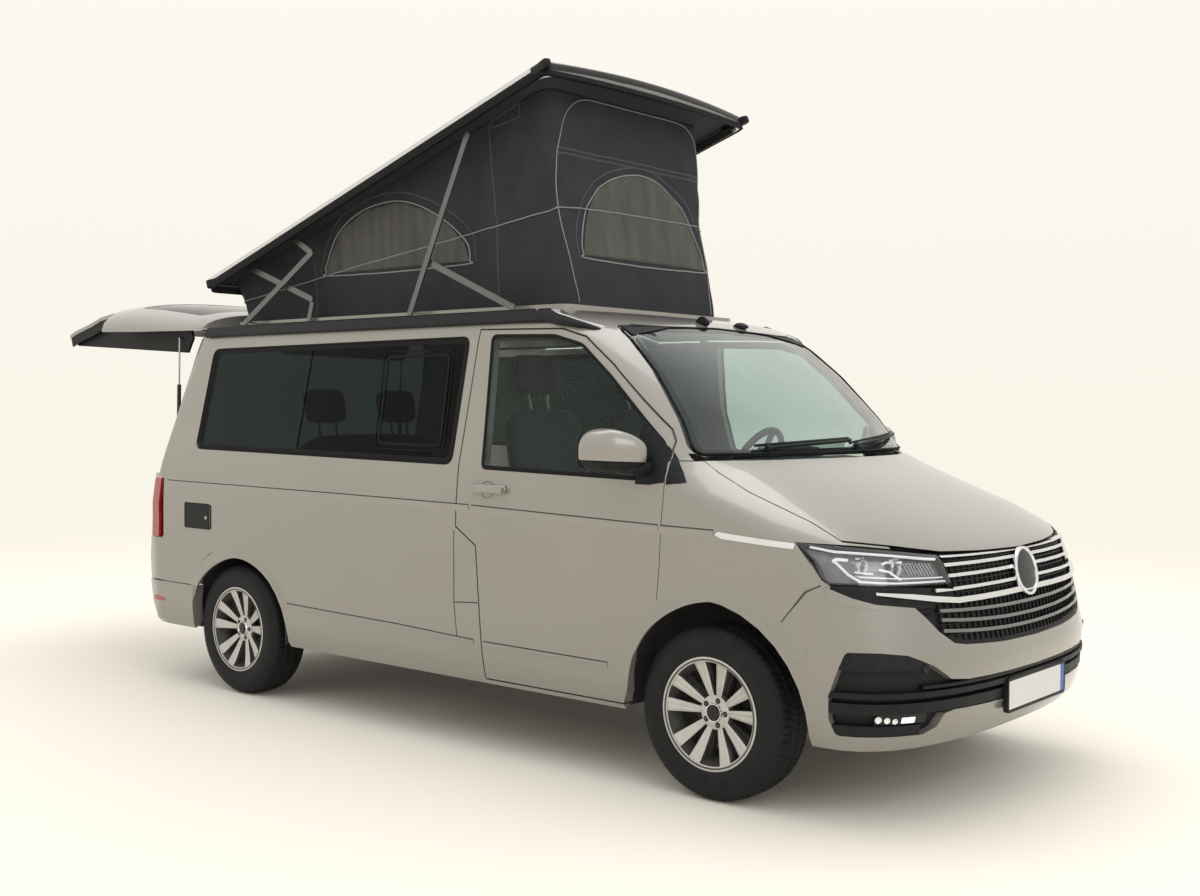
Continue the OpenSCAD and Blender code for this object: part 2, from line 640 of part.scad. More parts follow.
// Mirror housing as a hull of balls: [beyond the side, y, z, radius], swept back outwards
MIRROR = [[36, 268, 1264, 26], [48, 292, 1340, 30], [98, 330, 1381, 32], [138, 420, 1376, 32],
  [166, 466, 1330, 30], [168, 474, 1266, 26], [98, 302, 1266, 30], [34, 400, 1266, 30],
  [40, 416, 1344, 30]];
module mirror_unit() difference() {
  union() {
    hull() for (m = MIRROR) translate([half + m[0], m[1], m[2]]) sphere(r = m[3], $fn = 18);
    // arm to the door
    hull() {
      translate([half + 30, 300, 1262]) sphere(r = 24, $fn = 16);
      translate([half - 60, 262, 1232]) sphere(r = 34, $fn = 16);
      translate([half - 60, 300, 1240]) sphere(r = 34, $fn = 16);
    }
  }
  plate([0.8, 0.9, 1, 1.1, 1.3], [1100, 1500], 160);
}
module mirror_left() color([0.1, 0.1, 0.1]) mirror_unit();
module mirror_right() color([0.1, 0.1, 0.1]) mirror([1, 0, 0]) mirror_unit();

// ---- tailgate, drawn closed and turned open about its hinge ----
gate_hinge = [0, gate_line_top + 2, roof_z + 4];
module opened(angle) translate(gate_hinge) rotate([angle, 0, 0]) translate(-gate_hinge) children();
gate_stations = concat(steps(2, 2.8, 8), steps(2.9, 3.1, 2), steps(3.2, 4, 8));
module gate_shape(t, out = 0) intersection() {
  plate(gate_stations, [gate_low, roof_z], t, out);
  union() {
    along_x(-far, far) gate_zone();
    below_gate_corner() along_y(rear_y + 400, far * 2) tail_outline();
  }
}
module below_gate_corner() intersection() {
  children();
  cube([2 * far, 4 * far, 2 * (lamp_top + 26)], center = true);
}
gate_skin = 18;
// Side outline of the trim's cheeks: [behind the rear axle, height]
CHEEK = [[801, 621], [363, 1691], [420, 1765], [475, 1765], [635, 1450], [752, 1180], [808, 960],
  [868, 621]];
module tailgate() color(paint) opened(gate_angle) difference() {
  gate_shape(gate_skin);
  along_y(rear_y + 400, far * 2) tail_window_outline();
}
module tailgate_glass() color([0.08, 0.09, 0.1, 0.6]) opened(gate_angle) intersection() {
  plate(concat(steps(2.2, 2.8, 5), [3], steps(3.2, 3.8, 5)), [1200, 1800], glass_t, -3);
  along_y(rear_y + 400, far * 2) tail_window_outline();
}
module tailgate_trim() color([0.12, 0.12, 0.12]) opened(gate_angle) difference() {
  union() {
    intersection() {
      plate(gate_stations, [gate_low + 3, 1850], 48, -gate_skin - 1);
      union() {
        along_x(-far, far) gate_zone(-3);
        below_gate_corner() along_y(rear_y + 400, far * 2) tail_outline(-3);
      }
    }
    // pins for the gas springs' rods
    both_sides() translate(gas_eye_shut) rotate([0, -90, 0]) translate([0, 0, 6])
      cylinder(h = 14, d = gas_pin, $fn = 24);
    // side cheeks that reach in between the pillars
    both_sides() along_x(gate_half - 46, gate_half - 32)
      polygon([for (p = CHEEK) [rear_y + p[0], p[1]]]);
  }
  along_y(rear_y + 400, far * 2) tail_window_outline(-12);
}
// Gas springs: the tube turns on a pin of the lamp pillar, the rod slides in it up to the gate
gas_x = half - 140;
gas_foot = [gas_x, rear_y + 694, 1110];
gas_eye = [gas_x, rear_y + 676, 1868];
gas_eye_shut = turned(gas_eye, gate_hinge, -gate_angle);
gas_share = 0.66;                // share of the spring's length that is tube
gas_pin = 8;
module gas_pin_at(h) translate(gas_foot) rotate([0, 90, 0]) cylinder(h = h, d = gas_pin, $fn = 24);
module gas_bracket() difference() {
  translate([gas_x + gas_d / 2 + 1, gas_foot[1] - 18, gas_foot[2] - 12])
    cube([half - gas_x - gas_d / 2 - 17, 36, 24]);
  plate([1.6, 2, 2.1, 2.2, 2.3, 2.4, 2.5], [1080, 1160], 2 * wall, wall);
}
module gas_tubes() color([0.05, 0.05, 0.05]) both_sides() difference() {
  union() {
    rod(gas_foot, gas_foot + gas_share * (gas_eye - gas_foot), gas_d);
    translate([-7, 0, 0]) translate(gas_foot) rotate([0, 90, 0]) cylinder(h = 14, d = 22);
  }
  rod(gas_foot + 0.06 * (gas_eye - gas_foot), gas_eye, gas_rod_d + 0.2);
  translate([-20, 0, 0]) translate(gas_foot) rotate([0, 90, 0])
    cylinder(h = 40, d = gas_pin + 0.1, $fn = 24);
}
module gas_rods() color([0.7, 0.7, 0.72]) both_sides()
  rod(gas_foot + 0.34 * (gas_eye - gas_foot), gas_eye, gas_rod_d);

// ---- lifting roof, drawn closed and turned up about its pole ----
lid_rear = gate_line_top - 14;
lid_front = lid_rear - lid_l;
lid_pole = [0, rear_y + 1066, 1635];
// the lid in its raised place
module raised(angle) translate(lid_pole) rotate([-angle, 0, 0]) translate(-lid_pole) children();
module lid_plan(d) offset(r = 90 - d, $fn = 40) offset(delta = -90) intersection() {
  square_on(lid_w / 2, lid_front, lid_rear);
  translate([0, lid_front + 9000]) circle(r = 9000, $fn = 360);
}
// The lid's crown falls away to both sides as a parabola
crown_fall = 22;
module crown_outline() polygon(concat([[-lid_w, lid_top - 80]], [[lid_w, lid_top - 80]],
  [for (i = [8:-1:-8]) let (x = i * lid_w / 15) [x, lid_top - crown_fall * pow(2 * x / lid_w, 2)]]));
module roof_lid() color([0.86, 0.86, 0.85]) raised(lid_angle) difference() {
  intersection() {
    translate([0, 0, lid_top - 80]) linear_extrude(90) lid_plan(0);
    along_y(lid_front - 100, lid_rear + 100) crown_outline();
  }
  translate([0, 0, lid_top - 90]) linear_extrude(90 - lid_skin) lid_plan(16);
  // the rear rim runs out in a wedge
  along_x(-far, far) polygon([[lid_rear - 160, lid_top - 90], [lid_rear - 130, lid_top - 79],
    [lid_rear + 1, lid_top - 46], [lid_rear + 1, lid_top - 90]]);
}
function turned(p, centre, a) = let (d = p - centre) centre
  + [d[0], d[1] * cos(a) - d[2] * sin(a), d[1] * sin(a) + d[2] * cos(a)];
lid_skin = 30;
tent_x = lid_w / 2 - 178;
tent_z = roof_z + 31;
under = lid_top - lid_skin - 3;
module tent() color([0.16, 0.165, 0.18]) {
  low_a = [0, 1026, tent_z];
  low_b = [0, rear_y + 384, tent_z];
  top_a = turned([0, lid_front + 185, under], lid_pole, -lid_angle);
  top_b = turned([0, lid_rear - 40, under], lid_pole, -lid_angle);
  difference() {
    along_x(-tent_x, tent_x) polygon([for (p = [low_a, low_b, top_b, top_a]) [p[1], p[2]]]);
    along_x(-tent_x + 30, tent_x - 30) polygon([
      [low_a[1] + 30, tent_z - 1], [low_b[1] - 30, tent_z - 1], [top_b[1] - 34, top_b[2] - 2],
      [top_a[1] + 34, top_a[2] - 42]]);
  }
}
// Bars of the linkage: a flat bar between two (y, z) pivots in a lane at x, bored at its feet
module bar(a, b, x, bores) both_sides() along_x(x, x + bar_t) difference() {
  union() {
    translate(a) circle(d = bar_w + 3, $fn = 32);
    translate(b) circle(d = bar_w + 3, $fn = 32);
    translate(a) rotate(atan2(b[1] - a[1], b[0] - a[0])) translate([0, -bar_w / 2])
      square([norm(b - a), bar_w]);
  }
  for (p = bores) translate(p) circle(d = pin_d + 0.1, $fn = 24);
}
lane_a = lid_w / 2 - 54;
lane_b = lane_a - bar_t - 4;
lane_c = lane_b - bar_t - 4;
lane_d = lane_c - bar_t - 4;
plinth_x = lane_d - 17;
bar_z = roof_z + 22;             // height of the folded bars' pivots under the closed lid
function lifted(y, z) = let (p = turned([0, y, z], lid_pole, -lid_angle)) [p[1], p[2]];
strut_foot = [1905, bar_z];
strut_head = lifted(1307, bar_z - 47);
brace_foot = [1244, bar_z];
brace_head = [1789, bar_z + 234];
link_foot = [rear_y + 208, bar_z];
link_knee = [rear_y - 347, bar_z + 330];
link_head = lifted(rear_y - 348, bar_z);
scissor_foot = [rear_y - 282, bar_z];
scissor_knee = [rear_y - 314, bar_z + 104];
scissor_head = lifted(rear_y + 65, bar_z);
alloy = [0.62, 0.63, 0.65];
module roof_struts() color(alloy) bar(strut_foot, strut_head, lane_a, [strut_foot]);
module roof_braces() color(alloy) bar(brace_foot, brace_head, lane_b, [brace_foot]);
module rear_links() color(alloy) bar(link_foot, link_knee, lane_a, [link_foot]);
module link_arms() color(alloy) bar(link_knee, link_head, lane_b, []);
module rear_scissors() color(alloy) bar(scissor_knee, scissor_head, lane_c, []);
module scissor_arms() color(alloy) bar(scissor_foot, scissor_knee, lane_d, [scissor_foot]);

// ---- cabin ----
module dashboard() color([0.09, 0.09, 0.1]) {
  along_x(-half + 160, half - 160) polygon([
    [238, 900], [208, 1062], [208, 1180], [250, 1262], [420, 1272], [560, 1222], [590, 1150],
    [540, 900]]);
  translate([steer_at[0], 0, 0]) along_x(-190, 190) polygon([
    [400, 1262], [430, 1315], [520, 1322], [560, 1240], [500, 1200]]);
  // steering column
  translate(steer_at) rotate([steer_tilt, 0, 0]) translate([0, 0, -190]) cylinder(h = 150, d = 70);
}
seat_x = 0.42 * half;
steer_at = [seat_x - 20, 660, 1225];
steer_tilt = -62;
module steering_wheel() color([0.07, 0.07, 0.075]) translate(steer_at) rotate([steer_tilt, 0, 0]) {
  rotate_extrude($fn = 72) translate([steer_d / 2 - 15, 0]) circle(d = 30, $fn = 24);
  translate([0, 0, -36]) cylinder(h = 40, d = 120);
  for (a = [0, 180, 270]) rotate(a) translate([40, -16, -16]) cube([steer_d / 2 - 60, 32, 14]);
}
seat_y = 727;
cushion_z = 790;                 // underside of a front seat's cushion
// Side outline of a seat's cushion and backrest, with the cushion's front lip at (y, z)
module seat_outline(y, z, depth, back, lean) rounded(45) union() {
  translate([y, z]) square([depth, 150]);
  translate([y + depth - 70, z + 20]) rotate(-lean) translate([-60, 0]) square([125, back]);
}
module headrest_outline(y, z, depth, back, lean) translate([y + depth - 70, z + 20])
  rotate(-lean) translate([-55, back + 75]) rounded(40) square([100, 185]);
module seat(x, y) translate([x, y, 0]) {
  along_x(-seat_w / 2, seat_w / 2) seat_outline(seat_y, cushion_z, 520, 690, 14);
  along_x(-140, 140) headrest_outline(seat_y, cushion_z, 520, 690, 14);
  for (k = [-88, 76]) along_x(k, k + 12)
    translate([seat_y + 450, cushion_z + 20]) rotate(-14) translate([-10, 650]) square([12, 150]);
  translate([-seat_w / 2 + 60, seat_y + 50, floor_z]) cube([seat_w - 120, 400, cushion_z + 20 - floor_z]);
}
module front_seats() color([0.33, 0.33, 0.34]) { seat(seat_x, 60); seat(-seat_x, 0); }
bench_y = rear_y - 520;
module rear_bench() color([0.33, 0.33, 0.34]) {
  along_x(-450, 580) seat_outline(bench_y, floor_z + 330, 600, 640, 12);
  translate([-440, bench_y + 60, floor_z]) cube([980, 480, 350]);
  for (x = [-330, 200]) {
    along_x(x, x + 260) headrest_outline(bench_y, floor_z + 330, 600, 640, 12);
    for (k = [70, 180]) along_x(x + k, x + k + 12)
      translate([bench_y + 530, floor_z + 350]) rotate(-12) translate([-10, 600]) square([12, 150]);
  }
}
module kitchen_unit() color([0.6, 0.6, 0.6])
  translate([-half + wall + 62, 1450, floor_z]) cube([330, rear_y - 560 - 1450, 820]);

// The whole is moved so that the origin lies under the middle of its box
gate_tip = opened_tip();
function opened_tip() = turned([0, tail_y - 3, gate_low], gate_hinge, gate_angle);
origin_y = (nose_y + gate_tip[1]) / 2;
module placed() translate([0, -origin_y, 0]) children();

placed() floor_pan();
placed() side_right();
placed() side_left();
placed() sliding_door();
placed() front_wings();
placed() roof_frame();
placed() front_bumper();
placed() bumper_inserts();
placed() grille();
placed() grille_bars();
placed() headlamps();
placed() windscreen();
placed() side_glass();
placed() rear_bumper();
placed() tail_lamps();
placed() awning_rails();
placed() dashboard();
placed() front_seats();
placed() rear_bench();
placed() kitchen_unit();
placed() engine();
placed() fuel_tank();
placed() exhaust();
placed() front_axle();
placed() rear_axle();
placed() door_right();
placed() door_left();
placed() door_glass_right();
placed() door_glass_left();
placed() mirror_right();
placed() mirror_left();
placed() bonnet();
placed() tailgate();
placed() tailgate_glass();
placed() tailgate_trim();
placed() service_hatch();
placed() gas_tubes();
placed() gas_rods();
placed() roof_lid();
placed() tent();
placed() roof_struts();
placed() roof_braces();
placed() rear_links();
placed() rear_scissors();
placed() link_arms();
placed() scissor_arms();
placed() steering_wheel();
placed() knuckle_right();
placed() knuckle_left();
placed() tyre_front_right();
placed() tyre_front_left();
placed() tyre_rear_right();
placed() tyre_rear_left();
placed() rim_front_right();
placed() rim_front_left();
placed() rim_rear_right();
placed() rim_rear_left();
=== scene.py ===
"""Camper van with its roof up: paint, glass, canvas, trim, wheels, cabin and studio light."""

import json
import math

import bpy
import numpy as np
from mathutils import Matrix, Vector


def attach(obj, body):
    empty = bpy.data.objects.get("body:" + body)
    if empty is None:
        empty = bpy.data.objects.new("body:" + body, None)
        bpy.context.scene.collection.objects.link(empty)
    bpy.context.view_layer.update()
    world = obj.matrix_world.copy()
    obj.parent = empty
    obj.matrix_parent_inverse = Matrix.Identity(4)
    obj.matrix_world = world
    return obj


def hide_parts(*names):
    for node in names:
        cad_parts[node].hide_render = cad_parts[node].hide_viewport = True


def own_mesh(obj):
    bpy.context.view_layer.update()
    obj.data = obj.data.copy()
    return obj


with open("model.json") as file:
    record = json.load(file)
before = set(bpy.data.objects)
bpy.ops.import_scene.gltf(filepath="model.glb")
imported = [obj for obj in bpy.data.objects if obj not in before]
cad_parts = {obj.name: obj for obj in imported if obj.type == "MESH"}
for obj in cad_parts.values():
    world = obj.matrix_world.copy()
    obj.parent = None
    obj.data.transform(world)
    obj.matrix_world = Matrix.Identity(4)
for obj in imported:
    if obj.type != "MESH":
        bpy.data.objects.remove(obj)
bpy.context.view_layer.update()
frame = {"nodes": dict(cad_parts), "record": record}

# ---------------------------------------------------------------- places and the body's skin
# Places are in millimetres from the front axle, as on the drawing: x to the driver's side,
# y rearwards, z up. The row frame has its origin under the middle of the box.
MIDDLE_Y = 1994.1506
HALF = 952.0
NOSE_Y = -908.0
TAIL_Y = 3990.0
HUB_Z = 337.0
TRACK_X = 814.0
WHEELBASE = 3000.0

# Body sections by height: height, inset of the side, set-back of the nose, depth of the front
# corner, its power, set-back of the tail, depth of the rear corner, its power
SECTIONS = np.array([
    [290, 40, 84, 340, 2.6, 110, 300, 2.6],
    [330, 16, 44, 400, 2.6, 50, 320, 2.6],
    [420, 4, 13, 440, 2.6, 15, 330, 2.6],
    [520, 1, 3, 462, 2.6, 0, 330, 2.6],
    [590, 0, 0, 470, 2.6, 3, 320, 2.65],
    [660, 0, 16, 475, 2.6, 8, 310, 2.7],
    [860, 0, 61, 490, 2.6, 45, 280, 2.8],
    [960, 0, 84, 520, 2.5, 52, 270, 2.8],
    [1010, 1, 145, 520, 2.5, 62, 268, 2.8],
    [1085, 4, 283, 540, 2.4, 77, 265, 2.8],
    [1180, 12, 515, 580, 2.3, 105, 262, 2.8],
    [1250, 20, 705, 520, 2.3, 132, 258, 2.8],
    [1300, 27, 860, 400, 2.4, 153, 255, 2.8],
    [1450, 47, 985, 385, 2.5, 218, 248, 2.8],
    [1650, 72, 1208, 330, 2.65, 318, 230, 2.8],
    [1780, 88, 1393, 285, 2.9, 387, 215, 2.8],
    [1850, 101, 1510, 270, 3.0, 425, 200, 2.8],
    [1890, 120, 1600, 270, 3.0, 450, 180, 2.8],
    [1912, 165, 1690, 260, 3.0, 478, 150, 2.8],
    [1920, 330, 1860, 200, 3.0, 545, 110, 2.8]])
GATE_HINGE = np.array([0.0, 3430.0, 1924.0])
GATE_OPEN = 71.0
LID_POLE = np.array([0.0, 4066.0, 1635.0])
LID_OPEN = 18.0
LID_REAR = 3414.0
LID_FRONT = LID_REAR - 2695.0
LID_HALF = 760.0
LID_TOP = 2000.0
LANES = {"outer": 706.0, "second": 693.0, "third": 680.0, "inner": 667.0}


def column(z, c):
    """Column c of the sections' table, read at height z along straight lines between its rows."""
    return np.interp(z, SECTIONS[:, 0], SECTIONS[:, c])


def skin(v, z):
    """Point of the body's skin: each quarter of a section is a superellipse corner run into a
    straight side. v is 0 at the nose, 1 to 2 along the driver's side, 3 at the tail."""
    v, z = np.broadcast_arrays(np.asarray(v, float), np.asarray(z, float))
    over = (v < 0) | (v > 3)
    s = np.where(v < 0, -v, np.where(v > 3, 6 - v, v))
    w = HALF - column(z, 1)
    df, pf = column(z, 3), 2 / column(z, 4)
    dr, pr = column(z, 6), 2 / column(z, 7)
    y0, y1 = NOSE_Y + column(z, 2), TAIL_Y - column(z, 5)
    a = np.radians(90 * np.clip(s, 0, 1))
    b = np.radians(270 - 90 * np.clip(s, 2, 3))
    sa, ca, sb, cb = (np.clip(q, 0, 1) for q in (np.sin(a), np.cos(a), np.sin(b), np.cos(b)))
    x = np.where(s <= 1, w * sa ** pf, np.where(s >= 2, w * sb ** pr, w))
    y = np.where(s <= 1, y0 + df - df * ca ** pf,
                 np.where(s >= 2, y1 - dr + dr * cb ** pr, (y0 + df) * (2 - s) + (y1 - dr) * (s - 1)))
    return np.stack([np.where(over, -x, x), y, z], -1)


def skin_normal(v, z):
    """Outward normal of the skin: the cross product of its steps along a section and upwards."""
    top, low = SECTIONS[-1, 0], SECTIONS[0, 0]
    a = skin(v + 0.02, z) - skin(v - 0.02, z)
    b = skin(v, np.minimum(z + 8, top)) - skin(v, np.maximum(z - 8, low))
    n = np.cross(a, b)
    return n / np.linalg.norm(n, axis=-1, keepdims=True)


def shell(v, z, out=0.0):
    """A point out millimetres off the skin along its normal."""
    v, z = np.broadcast_arrays(np.asarray(v, float), np.asarray(z, float))
    return skin(v, z) + np.asarray(out)[..., None] * skin_normal(v, z)


def station_at_y(y, z):
    """Station v of the driver's side at length y and height z: the corner's superellipse solved
    for its angle."""
    y, z = np.broadcast_arrays(np.asarray(y, float), np.asarray(z, float))
    df, pf = column(z, 3), column(z, 4) / 2
    dr, pr = column(z, 6), column(z, 7) / 2
    y0, y1 = NOSE_Y + column(z, 2), TAIL_Y - column(z, 5)
    front = np.degrees(np.arccos(np.clip(np.clip((y0 + df - y) / df, 0, 1) ** pf, 0, 1))) / 90
    rear = 3 - np.degrees(np.arccos(np.clip(np.clip((y - y1 + dr) / dr, 0, 1) ** pr, 0, 1))) / 90
    mid = 1 + (y - y0 - df) / (y1 - dr - y0 - df)
    return np.where(y < y0 + df, front, np.where(y > y1 - dr, rear, mid))


def station_at_x(x, z):
    """Station v of the nose at half-width x: the front corner's superellipse solved for its angle."""
    x, z = np.broadcast_arrays(np.asarray(x, float), np.asarray(z, float))
    w, p = HALF - column(z, 1), column(z, 4) / 2
    s = np.degrees(np.arcsin(np.clip(np.abs(x) / w, 0, 1) ** p)) / 90
    return np.sign(x) * s


def on_side(y, z, out=0.0, side=1):
    """Point of the driver's side, or of the other with side -1, at length y and height z."""
    p = shell(station_at_y(y, z), z, out)
    return p * np.array([side, 1, 1])


def on_side_normal(y, z, side=1):
    """Outward normal of the skin at that place."""
    return skin_normal(station_at_y(y, z), np.asarray(z, float)) * np.array([side, 1, 1])


def turn_x(p, centre, angle):
    """p turned about a line along X through centre."""
    a = math.radians(angle)
    d = np.asarray(p, float) - centre
    return np.stack([d[..., 0], d[..., 1] * math.cos(a) - d[..., 2] * math.sin(a),
                     d[..., 1] * math.sin(a) + d[..., 2] * math.cos(a)], -1) + centre


def lid_up(p):
    """A place on the closed lid, turned up with it to where it stands at rest."""
    return turn_x(p, LID_POLE, -LID_OPEN)


def across_normals(normal):
    """Plan normals (x, y) made into level normals in space."""
    return np.column_stack([normal, np.zeros(len(normal))])


def powered(value, power):
    """A cosine or sine raised to a power with its sign kept, which squares or rounds a circle."""
    return np.sign(value) * np.abs(value) ** power


# ---------------------------------------------------------------- camera
CAMERA_AZIMUTH, CAMERA_ELEVATION, CAMERA_ROLL = -0.869668, 0.0294297, 0.0059428
CAMERA_PLACE = (-5.181411, -5.049549, 1.498633)
CAMERA_LENS, CAMERA_SENSOR = 41.641, 36.0


def make_camera():
    """Camera at its place in metres: its back points along the azimuth and elevation, and its
    right and up are rolled about that line."""
    level = math.cos(CAMERA_ELEVATION)
    back = np.array([math.sin(CAMERA_AZIMUTH) * level, -math.cos(CAMERA_AZIMUTH) * level,
                     math.sin(CAMERA_ELEVATION)])
    right = np.cross([0, 0, 1], back)
    right /= np.linalg.norm(right)
    up = np.cross(back, right)
    c, s = math.cos(CAMERA_ROLL), math.sin(CAMERA_ROLL)
    right, up = c * right + s * up, -s * right + c * up
    data = bpy.data.cameras.new("camera")
    data.lens, data.sensor_width = CAMERA_LENS, CAMERA_SENSOR
    data.clip_start, data.clip_end = 0.1, 200
    cam = bpy.data.objects.new("camera", data)
    bpy.context.scene.collection.objects.link(cam)
    turned = np.eye(4)
    turned[:3, :3] = np.stack([right, up, back], -1)
    turned[:3, 3] = CAMERA_PLACE
    cam.matrix_world = Matrix(turned.tolist())
    bpy.context.scene.camera = cam


make_camera()


# ---------------------------------------------------------------- materials
def node(tree, kind, values=None, **sets):
    """Shader node of a kind, with the values of its inputs and its own properties set."""
    n = tree.nodes.new(kind)
    for key, value in sets.items():
        setattr(n, key, value)
    for key, value in (values or {}).items():
        n.inputs[key].default_value = value
    return n


def woven_height(tree, place, threads):
    """Height of a plain weave: the higher of two sets of bands, one along each direction."""
    both = node(tree, "ShaderNodeMath", operation="MAXIMUM")
    for i, way in enumerate("ZY"):
        bands = node(tree, "ShaderNodeTexWave", {"Scale": threads, "Distortion": 0.6}, wave_type="BANDS",
                     bands_direction=way)
        tree.links.new(place, bands.inputs[0])
        tree.links.new(bands.outputs["Fac"], both.inputs[i])
    return both.outputs[0]


def shade_and_tone_by_height(tree, place, colour, low, high, shade):
    """The colour times a factor that rises from shade at one height to 1 at another."""
    split = node(tree, "ShaderNodeSeparateXYZ")
    tree.links.new(place, split.inputs[0])
    heights = node(tree, "ShaderNodeMapRange", {"From Min": low, "From Max": high, "To Min": shade,
                                                "To Max": 1.0})
    tree.links.new(split.outputs[2], heights.inputs[0])
    mix = node(tree, "ShaderNodeMix", {0: 1.0}, data_type="RGBA", blend_type="MULTIPLY")
    tree.links.new(colour, mix.inputs[6])
    tree.links.new(heights.outputs[0], mix.inputs[7])
    return mix.outputs[2]


def surface(name, base, rough, vary=0.05, scale=9.0, rough_vary=0.05, bump=0.0, bump_scale=900.0,
            bump_size=0.0004, fall=None, stretch=(1, 1, 1), weave=None, **sockets):
    """Node material on Object coordinates: noise moves its colour and roughness a little, fine
    noise or a weave raises its grain, and fall darkens it from one height to another."""
    mat = bpy.data.materials.new(name)
    mat.use_nodes = True
    t = mat.node_tree
    bsdf = next(n for n in t.nodes if n.type == "BSDF_PRINCIPLED")
    for key, value in sockets.items():
        bsdf.inputs[key.replace("_", " ")].default_value = value
    place = node(t, "ShaderNodeTexCoord").outputs["Object"]
    mapping = node(t, "ShaderNodeMapping", {"Scale": stretch})
    t.links.new(place, mapping.inputs["Vector"])
    noise = node(t, "ShaderNodeTexNoise", {"Scale": scale, "Detail": 6})
    t.links.new(mapping.outputs[0], noise.inputs["Vector"])
    ramp = node(t, "ShaderNodeValToRGB")
    dark, light = ramp.color_ramp.elements
    dark.position, light.position = 0.3, 0.7
    dark.color = [c * (1 - vary) for c in base] + [1]
    light.color = [min(1.0, c * (1 + vary)) for c in base] + [1]
    t.links.new(noise.outputs["Fac"], ramp.inputs[0])
    colour = ramp.outputs[0]
    if fall:
        colour = shade_and_tone_by_height(t, place, colour, *fall)
    t.links.new(colour, bsdf.inputs["Base Color"])
    spread = node(t, "ShaderNodeMapRange", {"To Min": max(0.0, rough - rough_vary),
                                            "To Max": min(1.0, rough + rough_vary)})
    t.links.new(noise.outputs["Fac"], spread.inputs[0])
    t.links.new(spread.outputs[0], bsdf.inputs["Roughness"])
    if bump:
        if weave:
            height = woven_height(t, place, weave)
        else:
            grain = node(t, "ShaderNodeTexNoise", {"Scale": bump_scale, "Detail": 4})
            t.links.new(mapping.outputs[0], grain.inputs["Vector"])
            height = grain.outputs["Fac"]
        raised = node(t, "ShaderNodeBump", {"Strength": bump, "Distance": bump_size})
        t.links.new(height, raised.inputs["Height"])
        t.links.new(raised.outputs[0], bsdf.inputs["Normal"])
    mat.diffuse_color = (*base, 1)
    return mat


def glass(name, tint, ior=1.45):
    """Clear or tinted glass: a smooth surface that lets light through."""
    return surface(name, tint, 0.01, vary=0.04, scale=4.0, rough_vary=0.004, Transmission_Weight=1.0, IOR=ior)


# The paint darkens towards the bottom of the body through fall: painted shade of the lower sides.
PAINT = surface("greige_metallic_paint", (0.3, 0.286, 0.256), 0.34, vary=0.015, scale=2.5,
                rough_vary=0.03, bump=0.05, bump_scale=2600, bump_size=0.0001, fall=(0.25, 1.25, 0.8),
                Metallic=0.35, Coat_Weight=0.9, Coat_Roughness=0.05)
LID = surface("white_lid_lacquer", (0.62, 0.63, 0.63), 0.3, vary=0.02, scale=3, Coat_Weight=0.6,
              Coat_Roughness=0.08)
TRIM = surface("grained_black_plastic", (0.008, 0.0095, 0.0105), 0.5, vary=0.2, scale=40, bump=0.25,
               bump_scale=1400, bump_size=0.0003, Specular_IOR_Level=0.22)
GLOSS_BLACK = surface("gloss_black_plastic", (0.007, 0.007, 0.008), 0.14, vary=0.2, scale=15,
                      Specular_IOR_Level=0.35)
CABIN = surface("dark_cabin_plastic", (0.035, 0.036, 0.04), 0.55, vary=0.15, scale=30, bump=0.3,
                bump_scale=900, bump_size=0.0004)
CHROME = surface("polished_chrome", (0.78, 0.79, 0.8), 0.1, vary=0.03, scale=12, rough_vary=0.04,
                 Metallic=1.0)
# On the grille the bars below 0.79 m are darker: the lower slats' own dark grey.
SLATS = surface("grille_slat_chrome", (0.74, 0.75, 0.76), 0.14, vary=0.04, scale=12,
                fall=(0.79, 0.8, 0.3), Metallic=1.0)
STEEL = surface("satin_steel", (0.5, 0.5, 0.52), 0.3, vary=0.08, scale=60, Metallic=1.0)
IRON = surface("cast_iron", (0.09, 0.09, 0.095), 0.75, vary=0.3, scale=35, bump=0.4, bump_scale=300,
               bump_size=0.0008)
UNDER = surface("underbody_coating", (0.03, 0.03, 0.032), 0.85, vary=0.3, scale=18, bump=0.4,
                bump_scale=220, bump_size=0.001)
CABINET = surface("grey_cabinet_laminate", (0.42, 0.42, 0.41), 0.4, vary=0.05, scale=20)
CLOTH = surface("woven_seat_cloth", (0.12, 0.12, 0.125), 0.9, vary=0.2, scale=70, bump=0.5,
                weave=160, bump_size=0.0006, Sheen_Weight=0.3)
CANVAS = surface("charcoal_tent_canvas", (0.031, 0.033, 0.039), 0.85, vary=0.14, scale=7, bump=0.35,
                 weave=210, bump_size=0.0004, Specular_IOR_Level=0.25)
BAR = surface("anodised_aluminium_bar", (0.17, 0.172, 0.168), 0.36, vary=0.06, scale=25,
              stretch=(1, 6, 1), Metallic=0.9)
BLACK_STEEL = surface("black_enamelled_steel", (0.012, 0.012, 0.013), 0.3, vary=0.2, scale=30)
RUBBER = surface("black_rubber_seal", (0.007, 0.007, 0.008), 0.7, vary=0.2, scale=50, bump=0.2,
                 bump_scale=600, Specular_IOR_Level=0.18)
TYRE = surface("tyre_rubber", (0.009, 0.0098, 0.011), 0.62, vary=0.25, scale=22, bump=0.35,
               bump_scale=500, bump_size=0.0005, Specular_IOR_Level=0.22)
ALLOY = surface("lacquered_wheel_alloy", (0.5, 0.49, 0.47), 0.3, vary=0.06, scale=25, Metallic=0.85,
                Coat_Weight=0.4)
RED = surface("red_lamp_plastic", (0.32, 0.006, 0.008), 0.12, vary=0.1, scale=60, Coat_Weight=0.8)
LENS = glass("clear_lamp_lens", (0.93, 0.95, 0.96))
CLEAR = glass("green_tinted_glass", (0.52, 0.62, 0.58), ior=1.25)
PRIVACY = glass("dark_privacy_glass", (0.012, 0.02, 0.018), ior=1.18)
SCREEN = glass("windscreen_glass", (0.6, 0.72, 0.7), ior=1.5)
